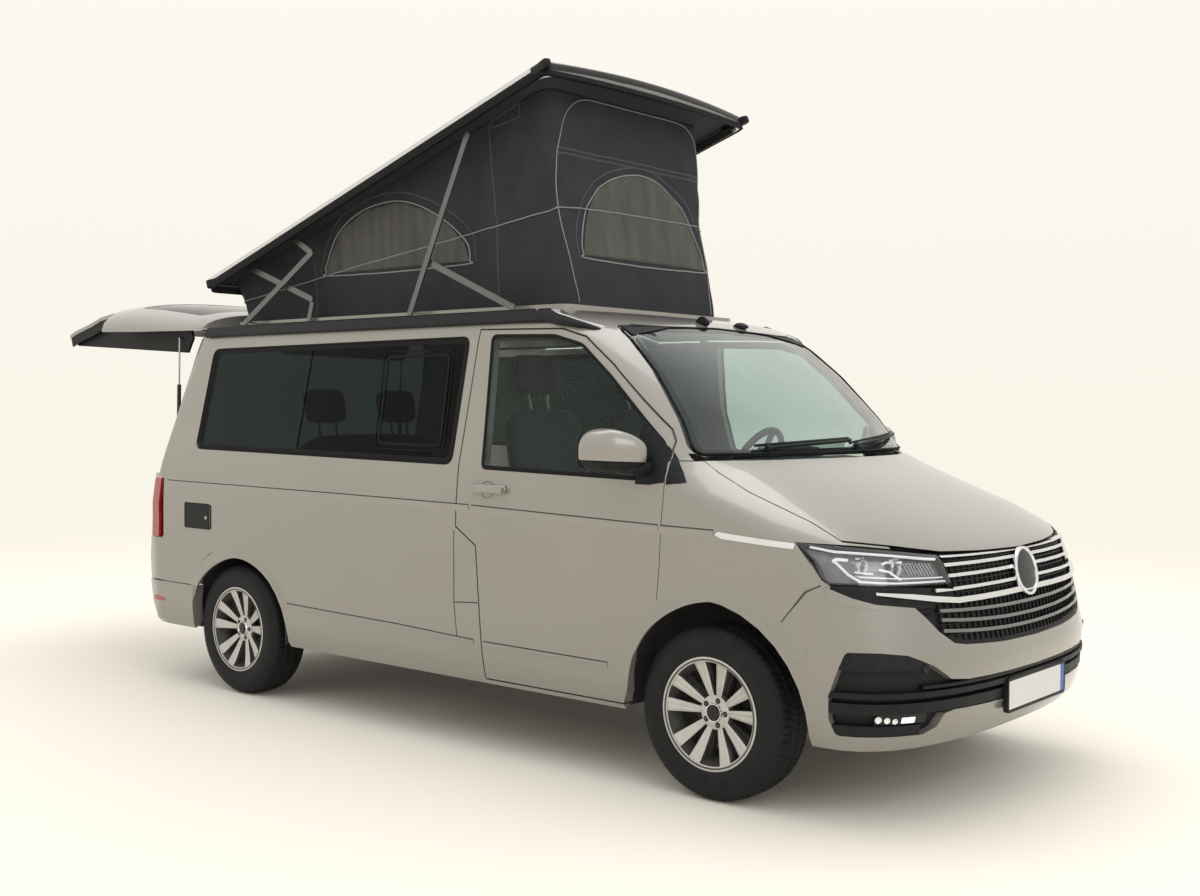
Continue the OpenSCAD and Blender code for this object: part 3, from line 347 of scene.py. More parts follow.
SHADE = surface("shut_line_shade", (0.05, 0.048, 0.043), 0.7, vary=0.1, scale=20, Specular_IOR_Level=0.2)
MATERIALS = {
    "paint": PAINT, "lid_white": LID, "black_trim": TRIM, "chrome": CHROME, "lamp_glass": LENS,
    "lamp_red": RED, "clear_glass": CLEAR, "dark_glass": PRIVACY, "seat_cloth": CLOTH,
    "cabinet": CABINET, "underbody": UNDER, "iron": IRON, "steel": STEEL, "canvas": CANVAS,
    "alloy_bar": BAR, "black_steel": BLACK_STEEL, "tyre": TYRE, "wheel_alloy": ALLOY}

for row in frame["record"]["subparts"]:
    piece = frame["nodes"][row["node"]]
    piece.data.materials.clear()
    piece.data.materials.append(MATERIALS[row["material_slot"]])
for name in ("dashboard", "steering_wheel"):
    frame["nodes"][name].data.materials[0] = CABIN
frame["nodes"]["grille_bars"].data.materials[0] = SLATS


def smooth_skin(name, angle=0.0):
    """Shades a panel as the curved skin it was cut from: corners of faces that lie on the skin
    take the skin's own normal, and all others keep their face's. No point moves."""
    me = frame["nodes"][name].data
    n = len(me.loops)
    co, index = np.empty(len(me.vertices) * 3), np.empty(n, int)
    me.vertices.foreach_get("co", co)
    me.loops.foreach_get("vertex_index", index)
    flat, total = np.empty(len(me.polygons) * 3), np.empty(len(me.polygons), int)
    me.polygons.foreach_get("normal", flat)
    me.polygons.foreach_get("loop_total", total)
    flat = np.repeat(flat.reshape(-1, 3), total, axis=0)
    p = co.reshape(-1, 3)[index] * 1000 + [0, MIDDLE_Y, 0]
    if angle:
        p = turn_x(p, GATE_HINGE, -angle)
    x, y, z = np.abs(p[:, 0]), p[:, 1], p[:, 2]
    v = station_at_y(y, z)
    w = HALF - column(z, 1)
    tail = 3 - np.degrees(np.arcsin(np.clip(x / w, 0, 1) ** (column(z, 7) / 2))) / 90
    v = np.where(v < 0.5, np.minimum(station_at_x(x, z), 0.6), np.where(v > 2.5, np.maximum(tail, 2.4), v))
    a = skin(v + 0.03, z) - skin(v - 0.03, z)
    b = skin(v, np.minimum(z + 30, SECTIONS[-1, 0])) - skin(v, np.maximum(z - 30, SECTIONS[0, 0]))
    good = np.cross(a, b)
    good /= np.linalg.norm(good, axis=1, keepdims=True)
    good *= np.where(p[:, :1] < 0, [-1, 1, 1], [1, 1, 1])
    if angle:
        good = turn_x(good, np.zeros(3), angle)
    lie = (good * flat).sum(1)
    near = np.abs(lie) > math.cos(math.radians(24))
    me.shade_smooth()
    me.normals_split_custom_set(np.where(near[:, None], good * np.sign(lie)[:, None], flat).tolist())


for name in ("front_wings", "bonnet", "side_right", "side_left", "sliding_door", "door_right", "door_left",
             "roof_frame", "front_bumper", "rear_bumper", "windscreen"):
    smooth_skin(name)
for name in ("tailgate", "tailgate_glass"):
    smooth_skin(name, GATE_OPEN)
frame["nodes"]["windscreen"].data.materials[0] = SCREEN


# ---------------------------------------------------------------- making meshes
def mesh_piece(name, points, faces, material, body="body", slot=None, sharp=35.0, stage=False):
    """Object from points in millimetres on the drawing and its faces, riding on a CAD body."""
    me = bpy.data.meshes.new(name)
    p = (np.asarray(points, float).reshape(-1, 3) - [0, MIDDLE_Y, 0]) / 1000.0
    me.from_pydata(p.tolist(), [], [list(map(int, f)) for f in faces])
    me.materials.append(material)
    me.validate()
    me.shade_smooth()
    if sharp:
        me.set_sharp_from_angle(angle=math.radians(sharp))
    me.update()
    o = bpy.data.objects.new(name, me)
    bpy.context.scene.collection.objects.link(o)
    if stage:
        return o
    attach(o, body)
    return o


def grid_quads(nu, nv, wrap_u=False, wrap_v=False, start=0, flip=False):
    """Four-sided faces of a grid of nu by nv points, closed round where it wraps."""
    u = np.arange(nu if wrap_u else nu - 1)
    v = np.arange(nv if wrap_v else nv - 1)
    a, b = np.meshgrid(u, v, indexing="ij")
    a2, b2 = (a + 1) % nu, (b + 1) % nv
    q = np.stack([a * nv + b, a2 * nv + b, a2 * nv + b2, a * nv + b2], -1).reshape(-1, 4) + start
    return q[:, ::-1] if flip else q


def outward(points, faces):
    """The mesh with its faces turned outwards: the signed volume they close must be positive."""
    p = np.asarray(points, float).reshape(-1, 3)
    mid = p.mean(0)
    total, groups = 0.0, {}
    for f in faces:
        groups.setdefault(len(f), []).append(f)
    for n, group in groups.items():
        q = np.asarray(group)
        a = p[q[:, 0]] - mid
        for k in range(1, n - 1):
            total += (a * np.cross(p[q[:, k]] - mid, p[q[:, k + 1]] - mid)).sum()
    if total < 0:
        faces = [list(f)[::-1] for f in faces]
    return p, faces


def plate_mesh(outer, inner):
    """Points and faces of a closed plate between two grids of points, outer facing out where its
    first index runs left and its second runs up as seen from outside."""
    nu, nv = outer.shape[:2]
    n = nu * nv
    faces = [grid_quads(nu, nv), grid_quads(nu, nv, start=n, flip=True)]
    i = np.arange(nu * nv).reshape(nu, nv)
    for edge, back in ((i[:, 0], False), (i[:, -1], True), (i[0], True), (i[-1], False)):
        a, b = (edge[1:], edge[:-1]) if back else (edge[:-1], edge[1:])
        faces.append(np.stack([b, a, a + n, b + n], -1))
    return outward(np.concatenate([outer.reshape(-1, 3), inner.reshape(-1, 3)]), np.concatenate(faces))


def sweep_mesh(path, normals, profile, closed=False):
    """Points and faces of a profile carried along a path. Profile points are (across, outward);
    across is the path's direction crossed with the outward normal."""
    path, normals = np.asarray(path, float), np.asarray(normals, float)
    n, m = len(path), len(profile)
    if closed:
        t = np.roll(path, -1, 0) - np.roll(path, 1, 0)
    else:
        t = np.gradient(path, axis=0)
    t /= np.linalg.norm(t, axis=1, keepdims=True) + 1e-12
    up = normals - (normals * t).sum(1, keepdims=True) * t
    up /= np.linalg.norm(up, axis=1, keepdims=True) + 1e-12
    across = np.cross(t, up)
    pr = np.asarray(profile, float)
    pts = path[:, None] + pr[None, :, :1] * across[:, None] + pr[None, :, 1:] * up[:, None]
    faces = grid_quads(n, m, wrap_u=closed, wrap_v=True).tolist()
    if not closed:
        faces.append(list(range(m))[::-1])
        faces.append([(n - 1) * m + k for k in range(m)])
    return outward(pts, faces)


def flat_profile(width, low, high, soft=1.0):
    """Bar profile from low to high with softened upper edges."""
    w = width / 2
    return np.array([[w, low], [w, high - soft], [w - soft, high], [-w + soft, high],
                     [-w, high - soft], [-w, low]])


def circle_profile(radius, n=10):
    """Round profile of n points."""
    a = np.arange(n) * 2 * math.pi / n
    return np.stack([np.cos(a), np.sin(a)], -1) * radius


def lathe_mesh(profile, centre, axis, n=48):
    """Solid of revolution: profile points are (radius, distance along the axis); radius 0 closes
    it in a pole, and a profile whose first and last radius are above 0 closes on itself."""
    axis = np.asarray(axis, float) / np.linalg.norm(axis)
    side = np.cross(axis, [0, 0, 1] if abs(axis[2]) < 0.9 else [1, 0, 0])
    side /= np.linalg.norm(side)
    other = np.cross(axis, side)
    a = np.arange(n) * 2 * math.pi / n
    ring = np.cos(a)[:, None] * side + np.sin(a)[:, None] * other
    prof = np.asarray(profile, float)
    poles = prof[0, 0] < 1e-6, prof[-1, 0] < 1e-6
    body = prof[(1 if poles[0] else 0):(len(prof) - 1 if poles[1] else len(prof))]
    pts = body[:, 0][:, None, None] * ring[None] + body[:, 1][:, None, None] * axis
    k = len(body)
    faces = grid_quads(k, n, wrap_u=not any(poles), wrap_v=True, flip=True).tolist()
    pts = pts.reshape(-1, 3)
    for pole, row, back in ((poles[0], 0, False), (poles[1], k - 1, True)):
        if pole:
            tip = len(pts)
            end = prof[0] if row == 0 else prof[-1]
            pts = np.vstack([pts, end[1] * axis])
            for j in range(n):
                a1, b1 = row * n + j, row * n + (j + 1) % n
                faces.append([a1, b1, tip] if not back else [b1, a1, tip])
    return outward(pts + np.asarray(centre, float), faces)


def pad_mesh(centre, size, power=0.3, n=28, turn=None):
    """Closed superellipsoid: x, y and z are cosines and sines raised to a small power, which
    rounds a box's edges."""
    u = np.linspace(-math.pi / 2, math.pi / 2, n // 2 + 1)[1:-1]
    v = np.arange(n) * 2 * math.pi / n
    cu, su = powered(np.cos(u), power)[:, None], powered(np.sin(u), power)[:, None]
    cv, sv = powered(np.cos(v), power)[None], powered(np.sin(v), power)[None]
    p = np.stack([cu * cv, cu * sv, su * np.ones((1, n))], -1).reshape(-1, 3)
    k = len(u)
    faces = grid_quads(k, n, wrap_v=True, flip=True).tolist()
    p = np.vstack([p, [0, 0, -1], [0, 0, 1]])
    for j in range(n):
        faces.append([(j + 1) % n, j, k * n])
        faces.append([(k - 1) * n + j, (k - 1) * n + (j + 1) % n, k * n + 1])
    p = p * np.asarray(size, float) / 2
    if turn is not None:
        p = p @ np.asarray(turn, float).T
    return outward(p + np.asarray(centre, float), faces)


def rot_x(angle):
    """Matrix that turns by an angle in degrees about X."""
    a = math.radians(angle)
    return np.array([[1, 0, 0], [0, math.cos(a), -math.sin(a)], [0, math.sin(a), math.cos(a)]])


def rot_z(angle):
    """Matrix that turns by an angle in degrees about Z."""
    a = math.radians(angle)
    return np.array([[math.cos(a), -math.sin(a), 0], [math.sin(a), math.cos(a), 0], [0, 0, 1]])


def joined(parts):
    """Points and faces of several parts as those of one mesh."""
    points, faces, n = [], [], 0
    for p, f in parts:
        p = np.asarray(p).reshape(-1, 3)
        points.append(p)
        faces += [[int(i) + n for i in q] for q in f]
        n += len(p)
    return np.vstack(points), faces


def mirrored(part):
    """The same piece on the other side, its faces turned so that they still face outwards."""
    p, f = part
    return np.asarray(p).reshape(-1, 3) * [-1, 1, 1], [list(q)[::-1] for q in f]


def smooth_line(points, n=60, closed=False):
    """Curve through the points: Catmull-Rom cubics, then spaced evenly by length."""
    p = np.asarray(points, float)
    if closed:
        q = np.vstack([p[-1], p, p[0], p[1]])
    else:
        q = np.vstack([2 * p[0] - p[1], p, 2 * p[-1] - p[-2]])
    t = np.linspace(0, 1, 16, endpoint=False)[:, None]
    out = []
    for i in range(1, len(q) - 2):
        a, b, c, d = q[i - 1:i + 3]
        out.append(0.5 * (2 * b + (c - a) * t + (2 * a - 5 * b + 4 * c - d) * t ** 2
                          + (3 * b - a - 3 * c + d) * t ** 3))
    out = np.vstack(out + ([] if closed else [q[-2][None]]))
    return even_line(out, n, closed)


def even_line(points, n=60, closed=False):
    """The line through the points, in n points spaced evenly by length."""
    p = np.asarray(points, float)
    if closed:
        p = np.vstack([p, p[0]])
    s = np.concatenate([[0], np.cumsum(np.linalg.norm(np.diff(p, axis=0), axis=1))])
    k = np.linspace(0, s[-1], n, endpoint=not closed)
    return np.stack([np.interp(k, s, p[:, i]) for i in range(p.shape[1])], -1)


def rounded_line(points, radius, n=120):
    """Closed polygon with its corners rounded by quadratic curves, spaced evenly."""
    p = np.asarray(points, float)
    out = []
    for i in range(len(p)):
        a, b, c = p[i - 1], p[i], p[(i + 1) % len(p)]
        ra = min(radius, 0.45 * np.linalg.norm(a - b))
        rc = min(radius, 0.45 * np.linalg.norm(c - b))
        s = b + (a - b) / np.linalg.norm(a - b) * ra
        e = b + (c - b) / np.linalg.norm(c - b) * rc
        for t in np.linspace(0, 1, 7):
            out.append((1 - t) ** 2 * s + 2 * t * (1 - t) * b + t ** 2 * e)
    return even_line(out, n, closed=True)


def side_strip(points, profile, closed=False, n=None, side=1):
    """A profile swept along a line on the driver's side, or the other, given as (y, z)."""
    line = np.asarray(points, float)
    if n:
        line = even_line(line, n, closed)
    path = on_side(line[:, 0], line[:, 1], 0.0, side)
    return sweep_mesh(path, on_side_normal(line[:, 0], line[:, 1], side), profile, closed)


def front_strip(points, profile, closed=False, n=None, out=0.0):
    """A profile swept along a line on the nose, given as (x, z)."""
    line = np.asarray(points, float)
    if n:
        line = even_line(line, n, closed)
    v = station_at_x(line[:, 0], line[:, 1])
    return sweep_mesh(shell(v, line[:, 1], out), skin_normal(v, line[:, 1]), profile, closed)


def bolt(centre, axis, radius=9.0, height=5.0):
    """Domed bolt head with a flange: a lathe of five radii."""
    return lathe_mesh([(0, height), (radius * 0.55, height), (radius * 0.7, height * 0.7),
                       (radius * 0.75, height * 0.3), (radius, height * 0.25), (radius, -2), (0, -2)],
                      centre, axis, n=20)


# ---------------------------------------------------------------- the tent
TENT_X, TENT_Z = 582.0, 1951.0
UNDER = 1967.0  # height of the closed lid's underside, where the walls end
TOP_FRONT = lid_up(np.array([0.0, LID_FRONT + 185, UNDER]))
TOP_REAR = lid_up(np.array([0.0, LID_REAR - 40, UNDER]))
LOW_FRONT, LOW_REAR = 1026.0, 3384.0
TENT_RUN, TENT_RISE = 7.05, 980.0


def make_rim():
    """Plan of the tent walls: a rectangle with round corners, evenly spaced by length, as (a, s)
    with a from -1 to 1 across and s from 0 at the front to 1 at the rear, with plan normals."""
    length = LOW_REAR - LOW_FRONT
    line = rounded_line([(-TENT_X, 0), (-TENT_X, length), (TENT_X, length), (TENT_X, 0)], 75, 480)
    t = np.roll(line, -1, 0) - np.roll(line, 1, 0)
    t /= np.linalg.norm(t, axis=1, keepdims=True)
    normal = np.stack([-t[:, 1], t[:, 0]], -1)
    return line / [TENT_X, length], normal


RIM, RIM_NORMAL = make_rim()
COUNT = len(RIM)


def tent(t, v, out=0.0):
    """Point of the canvas: t runs round the walls from 0 to 1, v from the sill to the lid. The wall
    is a straight blend of its two edges, drawn in by the cord at mid height, with shallow folds
    that are sums of sines and fade out at the edges."""
    t, v = np.broadcast_arrays(np.asarray(t, float) % 1.0, np.asarray(v, float))
    k = t * COUNT
    ring = np.arange(COUNT + 1)
    closed = np.vstack([RIM, RIM[:1]])
    normals = np.vstack([RIM_NORMAL, RIM_NORMAL[:1]])
    a, s = np.interp(k, ring, closed[:, 0]), np.interp(k, ring, closed[:, 1])
    nx, ny = np.interp(k, ring, normals[:, 0]), np.interp(k, ring, normals[:, 1])
    low_y = LOW_FRONT + s * (LOW_REAR - LOW_FRONT)
    top_y = TOP_FRONT[1] + s * (TOP_REAR[1] - TOP_FRONT[1])
    y = low_y * (1 - v) + top_y * v
    top = TOP_FRONT[2] + s * (TOP_REAR[2] - TOP_FRONT[2])
    z = TENT_Z * (1 - v) + top * v
    height = (top - TENT_Z) / TENT_RISE
    middle = 0.45 + 0.1 * s
    pull = np.exp(-(np.abs(v - middle) / 0.24) ** 1.5) * np.sin(np.pi * np.clip(v, 0, 1)) ** 0.5
    corner = np.abs(a) ** 6 * (1 - np.clip(s * 6, 0, 1)) + np.abs(a) ** 6 * np.clip(s * 6 - 5, 0, 1)
    amount = (14 + 20 * corner) * np.clip(height * 1.3, 0.15, 1)
    fade = np.sin(np.pi * np.clip(v, 0, 1)) ** 0.7
    way = t * TENT_RUN
    folds = (2.6 * np.sin(way * 17.3 + 3.1 * v + 0.7) * np.sin(way * 5.1 + 1.3)
             + 2.0 * np.sin(way * 29.7 - 4.2 * v) * np.clip(1.2 - 2.4 * v, 0, 1)
             + 2.2 * np.sin(way * 9.1 + 9.0 * v) * corner
             + 1.6 * np.sin(way * 41.0 + 7.0 * np.sin(5 * v))) * height * 1.7
    off = -amount * pull + fade * folds + 9 * fade * np.clip(0.8 - v * 2, 0, 1) * height + out
    return np.stack([a * TENT_X + nx * off, y + ny * off, z], -1)


def tent_out(t, v):
    """Outward normal of the canvas: the cross product of its steps upwards and round the walls."""
    a = tent(t + 0.0008, v) - tent(t - 0.0008, v)
    b = tent(t, v + 0.004) - tent(t, v - 0.004)
    n = np.cross(b, a)
    n /= np.linalg.norm(n, axis=-1, keepdims=True)
    p = tent(t, v)
    centre = np.array([0, 2200.0, 2300.0])
    return n * np.sign(((p - centre) * n * [1, 1, 0.01]).sum(-1, keepdims=True))


def tent_place(face, across, z):
    """(t, v) of a place on a wall, given as (y, z) on the sides or (x, z) on the front."""
    across, z = np.asarray(across, float), np.asarray(z, float)
    k = np.arange(COUNT) / COUNT
    a, s = RIM[:, 0], RIM[:, 1]
    if face == "front":
        v = (z - TENT_Z) / (TOP_FRONT[2] - TENT_Z)
        pick = s < 0.004
        order = np.argsort(a[pick])
        kk = np.where(k[pick] < 0.5, k[pick] + 1, k[pick])
        return np.interp(across / TENT_X, a[pick][order], kk[order]) % 1.0, v
    v = np.full_like(z, 0.4)
    for _ in range(12):
        sp = (across - LOW_FRONT - v * (TOP_FRONT[1] - LOW_FRONT)) / (
            (LOW_REAR - LOW_FRONT) * (1 - v) + (TOP_REAR[1] - TOP_FRONT[1]) * v)
        v = (z - TENT_Z) / (TOP_FRONT[2] + sp * (TOP_REAR[2] - TOP_FRONT[2]) - TENT_Z)
    pick = (a < -0.997) if face == "right" else (a > 0.997)
    order = np.argsort(s[pick])
    return np.interp(sp, s[pick][order], k[pick][order]), v


def on_tent(piece):
    """Gives a piece of the canvas, which hangs from the lid, a mesh of its own."""
    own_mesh(piece)
    return piece


def tent_line(face, points, profile, out=1.0, n=80, closed=False, smooth=True):
    """A cord, piping or seam laid on the canvas along a line of that wall."""
    p = np.asarray(points, float)
    p = smooth_line(p, n, closed) if smooth else even_line(p, n, closed)
    t, v = tent_place(face, p[:, 0], p[:, 1])
    v = np.clip(v, 0.004, 0.996)
    return sweep_mesh(tent(t, v, out), tent_out(t, v), profile, closed)


def tent_window(face, outline, out, n=44, m=22):
    """Half-moon of mesh cloth on a wall: each column runs from the outline's foot to its arch."""
    p = np.asarray(outline, float)
    across = np.linspace(p[:, 0].min() + 1, p[:, 0].max() - 1, n)
    low = p[:, 1].min()
    order = np.argsort(p[:, 0])
    arch = np.interp(across, p[order, 0], p[order, 1])
    edge = np.sqrt(np.clip(1 - (2 * np.linspace(0, 1, n) - 1) ** 12, 0, 1))
    arch = low + (arch - low) * np.maximum(edge, 0.02)
    g = np.linspace(0, 1, m)[None]
    z = low + (arch - low)[:, None] * g
    t, v = tent_place(face, np.broadcast_to(across[:, None], z.shape).ravel(), z.ravel())
    folds = 3.0 * np.sin(across / 21.0)[:, None] * (0.3 + 0.7 * g)
    pts = tent(t, v, out + folds.ravel() * 0.6)
    return pts, grid_quads(n, m, flip=(face != "right"))


FRONT_WINDOW = [(-425, 2185), (-423, 2246), (-376, 2378), (-278, 2497), (-167, 2563), (-24, 2601),
                (102, 2606), (208, 2580), (313, 2524), (382, 2468), (444, 2376), (488, 2275),
                (499, 2185)]
SIDE_WINDOW = [(2702, 2180), (2690, 2235), (2586, 2389), (2385, 2486), (2123, 2505), (1874, 2423),
               (1682, 2287), (1640, 2225), (1636, 2180)]


FRONT_PIPING = [(-495, 1965), (-529, 2184), (-549, 2390), (-546, 2558), (-515, 2709), (-460, 2823),
                (-387, 2888), (-300, 2914), (-202, 2918), (59, 2918), (380, 2918), (470, 2896),
                (520, 2840), (533, 2750), (533, 2500), (525, 2250), (510, 1965)]
FRONT_SILL = [(-425, 2186), (-412, 2172), (0, 2164), (484, 2174), (499, 2186)]
SIDE_SILL = [(1636, 2180), (1650, 2168), (2170, 2161), (2688, 2170), (2702, 2182)]
FRONT_CORD = [(-500, 2394), (-356, 2402), (0, 2408), (449, 2409), (500, 2406)]
SIDE_CORD = [(3380, 2075), (3200, 2098), (2911, 2138), (2439, 2207), (1922, 2271), (1452, 2334),
             (1233, 2368), (1120, 2384)]
VENT = [(1500, 2882), (1316, 2888), (1315, 2812), (1492, 2784)]
PIPE, CORD = circle_profile(2.6, 6), circle_profile(3.2, 8)
WINDOW_PIPE, STITCH = flat_profile(6.4, -0.5, 3.2, 1.2), flat_profile(9, -0.5, 1.6, 0.6)


def widened(outline, grow, middle, reach, above):
    """A window's outline grown by a width: along the wall about its middle in the proportion of
    the width to its reach, and upwards where it is above its foot."""
    share = 1 + grow / reach
    return [(middle + (q - middle) * share, z + (grow if z > above else 0)) for q, z in outline]


def tent_trim():
    """Piping and seams of the walls: round each window, under its sill, down the walls' joints and
    round the vent."""
    pipes = [tent_line("front", FRONT_PIPING, PIPE, 2.0, 160),
             tent_line("front", FRONT_WINDOW, WINDOW_PIPE, 1.5, 150),
             tent_line("front", FRONT_SILL, WINDOW_PIPE, 1.5, 90)]
    seams = [tent_line("front", [(-535, z), (0, z + 2), (528, z)], STITCH, 0.8, 60) for z in (2662, 2640)]
    seams.append(tent_line("front", widened(FRONT_WINDOW, 34, 0, 480, 2200), STITCH, 1.5, 150))
    for side in ("right", "left"):
        pipes += [tent_line(side, SIDE_WINDOW, WINDOW_PIPE, 1.5, 150),
                  tent_line(side, SIDE_SILL, WINDOW_PIPE, 1.5, 90)]
        seams += [tent_line(side, widened(SIDE_WINDOW, 42, 2170, 600, 2240), STITCH, 1.5, 150),
                  tent_line(side, VENT, flat_profile(8, 0, 3, 1), 1.2, 60, True, False),
                  tent_line(side, [(1515, 2830), (1436, 1970)], STITCH, 0.8, 60),
                  tent_line(side, [(2795, 2250), (2760, 1970)], STITCH, 0.8, 60)]
    return pipes, seams


def cord_run(t, v):
    """Cord laid on the canvas through places given as t and v."""
    return sweep_mesh(tent(t, v, 4.0), tent_out(t, v), CORD)


def tent_cords():
    """The elastic cord at mid height: its runs along the sides and the front, round the two front
    corners, which join the ends of those runs, and across the rear."""
    cords = [tent_line(side, SIDE_CORD, CORD, 5.0, 160) for side in ("right", "left")]
    cords.append(tent_line("front", FRONT_CORD, CORD, 5.0, 90))
    for x, side in ((-500.0, "right"), (500.0, "left")):
        ends = tent_place("front", [x], [2395.0]), tent_place(side, [1120.0], [2384.0])
        (t0, v0), (t1, v1) = sorted((t[0], v[0]) for t, v in ends)
        if t1 - t0 > 0.5:
            t0, v0, t1, v1 = t1, v1, t0 + 1, v0
        cords.append(cord_run(np.linspace(t0, t1, 26), np.linspace(v0, v1, 26)))
    (t0,), (v0,) = tent_place("right", [3380.0], [2075.0])
    (t1,), _ = tent_place("left", [3380.0], [2075.0])
    cords.append(cord_run(np.linspace(t0, t1, 120), np.full(120, v0)))
    return cords


def hem(cloth, thickness):
    """Gives a sheet its thickness in metres, on the inside."""
    thick = cloth.modifiers.new("hem", "SOLIDIFY")
    thick.thickness, thick.offset = thickness, -1


def make_tent_window(face, outline):
    """Mesh cloth of one window, stretched in the canvas."""
    points, faces = tent_window(face, outline, 3.0)
    cloth = mesh_piece("tent_window_" + face, points, faces, NET, body="roof_lid", slot="canvas", sharp=None)
    hem(cloth, 0.001)
    on_tent(cloth)


def make_tent():
    """The canvas walls as one sheet, the cord, piping and seams that lie on it, and its windows."""
    nt, nv = 900, 110
    t, v = np.meshgrid(np.arange(nt) / nt, np.linspace(0, 1, nv), indexing="ij")
    points = tent(t, v).reshape(-1, 3)
    faces = grid_quads(nt, nv, wrap_u=True)
    wall = mesh_piece("tent_canvas", points, faces, CANVAS, body="roof_lid", slot="canvas", sharp=None)
    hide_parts("tent")
    hem(wall, 0.0012)
    pipes, seams = tent_trim()
    for name, parts, material in (("tent_cord", tent_cords(), PIPING), ("tent_piping", pipes, PIPING),
                                  ("tent_seams", seams, SEAM)):
        piece = mesh_piece(name, *joined(parts), material, body="roof_lid", slot="canvas")
        on_tent(piece)
    for face, outline in (("front", FRONT_WINDOW), ("right", SIDE_WINDOW), ("left", SIDE_WINDOW)):
        make_tent_window(face, outline)
    on_tent(wall)


PIPING = surface("pale_piping_cord", (0.23, 0.235, 0.24), 0.7, vary=0.1, scale=120, bump=0.2, bump_scale=900)
SEAM = surface("stitched_seam_tape", (0.05, 0.053, 0.06), 0.8, vary=0.2, scale=90, bump=0.3, bump_scale=1200)
NET = surface("olive_window_mesh", (0.074, 0.074, 0.066), 0.85, vary=0.25, scale=14, stretch=(1, 1, 0.15),
              bump=0.5, weave=420, bump_size=0.0003)
make_tent()


# ---------------------------------------------------------------- the lid's edges
def lid_rim(inset=0.0, n=300):
    """Plan outline of the lid, as on the drawing: a rectangle with round corners and a bowed front."""
    bow = 9000
    front = [(x, LID_FRONT + bow - math.sqrt(bow ** 2 - x ** 2)) for x in LID_HALF * np.linspace(-1, 1, 41)]
    line = rounded_line(front[::-1] + [(-LID_HALF, LID_REAR), (LID_HALF, LID_REAR)], 88, n)
    centre = np.array([0, (LID_FRONT + LID_REAR) / 2])
    t = np.roll(line, -1, 0) - np.roll(line, 1, 0)
    t /= np.linalg.norm(t, axis=1, keepdims=True)
    normal = np.stack([t[:, 1], -t[:, 0]], -1)
    normal *= np.sign(((line - centre) * normal).sum(1, keepdims=True))
    return line - normal * inset, normal


def run_of(ok):
    """Indices of the one unbroken run of True on a closed line."""
    start = np.argmax(ok & ~np.roll(ok, 1))
    idx = (start + np.arange(len(ok))) % len(ok)
    return idx[ok[idx]]


def lid_band(name, line, normal, height, profile, material, slot="black_trim", closed=False):
    """A profile swept along the lid's plan at a height, then turned up with the lid."""
    path = np.column_stack([line, np.broadcast_to(height, len(line))])
    p, f = sweep_mesh(path, across_normals(normal), profile, closed)
    mesh_piece(name, lid_up(p), f, material, body="roof_lid", slot=slot)


def make_lid_lining():
    """Lining laid on the lid's underside between the walls of its rim, its four corners round."""
    edge = lid_rim(16.5)[0][:, 1]
    y = np.linspace(edge.min() + 4, edge.max() - 6, 90)
    corner = 72
    near = np.clip(np.minimum(y - edge.min(), edge.max() - y) / corner, 0, 1)
    half = 742.0 - corner * (1 - np.sqrt(np.clip(1 - (1 - near) ** 2, 0, 1)))
    x = np.linspace(-1, 1, 60)[:, None] * half[None]
    low = np.stack([x, np.broadcast_to(y[None], x.shape), np.full_like(x, 1967.6)], -1)
    p, f = plate_mesh(low, low + [0, 0, 1.6])
    mesh_piece("lid_lining", lid_up(p), f, LINING, body="roof_lid", slot="black_trim")


def make_lid_edges():
    """Black band round the lid's foot, its lining, and the lip, metal strip and rubber that wrap
    its front and both front corners."""
    line, normal = lid_rim()
    idx = run_of(line[:, 1] > LID_FRONT + 30)
    rise = np.clip((line[idx, 1] - (LID_REAR - 130)) / 130, 0, 1) * 33
    foot = [(-22.5, -17), (-22.5, 1.2), (14, 1.8), (17, 0.6), (17, -0.5), (-21.2, -0.5), (-21.2, -17)]
    lid_band("lid_foot_band", line[idx], normal[idx], LID_TOP - 59 + rise, foot, RUBBER)
    make_lid_lining()
    lid_band("lid_inner_band", *lid_rim(16.8), 1944.0, [(-22, -1.4), (-22, 0), (22, 0), (22, -1.4)],
             LINING, closed=True)
    idx = run_of(line[:, 1] < LID_FRONT + 105)
    front, out = line[idx], normal[idx]
    crown = LID_TOP - 22 * (front[:, 0] / LID_HALF) ** 2
    lip = [(-17, -8), (-18, 3), (-8, 6), (8, 6), (17, 3), (24, -4), (27, -14), (24, -14), (21, -8)]
    lid_band("lid_front_lip", front, out, crown - 22, lip, GLOSS_BLACK)
    lid_band("lid_front_strip", front, out, 1948.0, [(-9, -2), (-7, 3), (7, 3), (9, -2)], GREY_STRIP, "steel")
    lid_band("lid_front_rubber", front, out, 1930.0,
             [(-11.5, -17), (-11.5, 1), (9, 1), (9, -0.5), (-10.2, -0.5), (-10.2, -17)], RUBBER)
    p, f = joined([pad_mesh((s * 741, LID_FRONT + 70, 1958), (36, 150, 42), 0.4, 28, rot_z(s * 12))
                   for s in (-1, 1)])
    mesh_piece("lid_corner_caps", lid_up(p), f, TRIM, body="roof_lid", slot="black_trim")


LINING = surface("dark_felt_lining", (0.022, 0.023, 0.026), 0.9, vary=0.2, scale=30, bump=0.3, bump_scale=500)
GREY_STRIP = surface("grey_metal_strip", (0.2, 0.205, 0.2), 0.4, vary=0.1, scale=30, Metallic=0.6)
make_lid_edges()


# ---------------------------------------------------------------- headlamps
LAMP_TIP = 0.862
LAMP_FOOT = 851.0


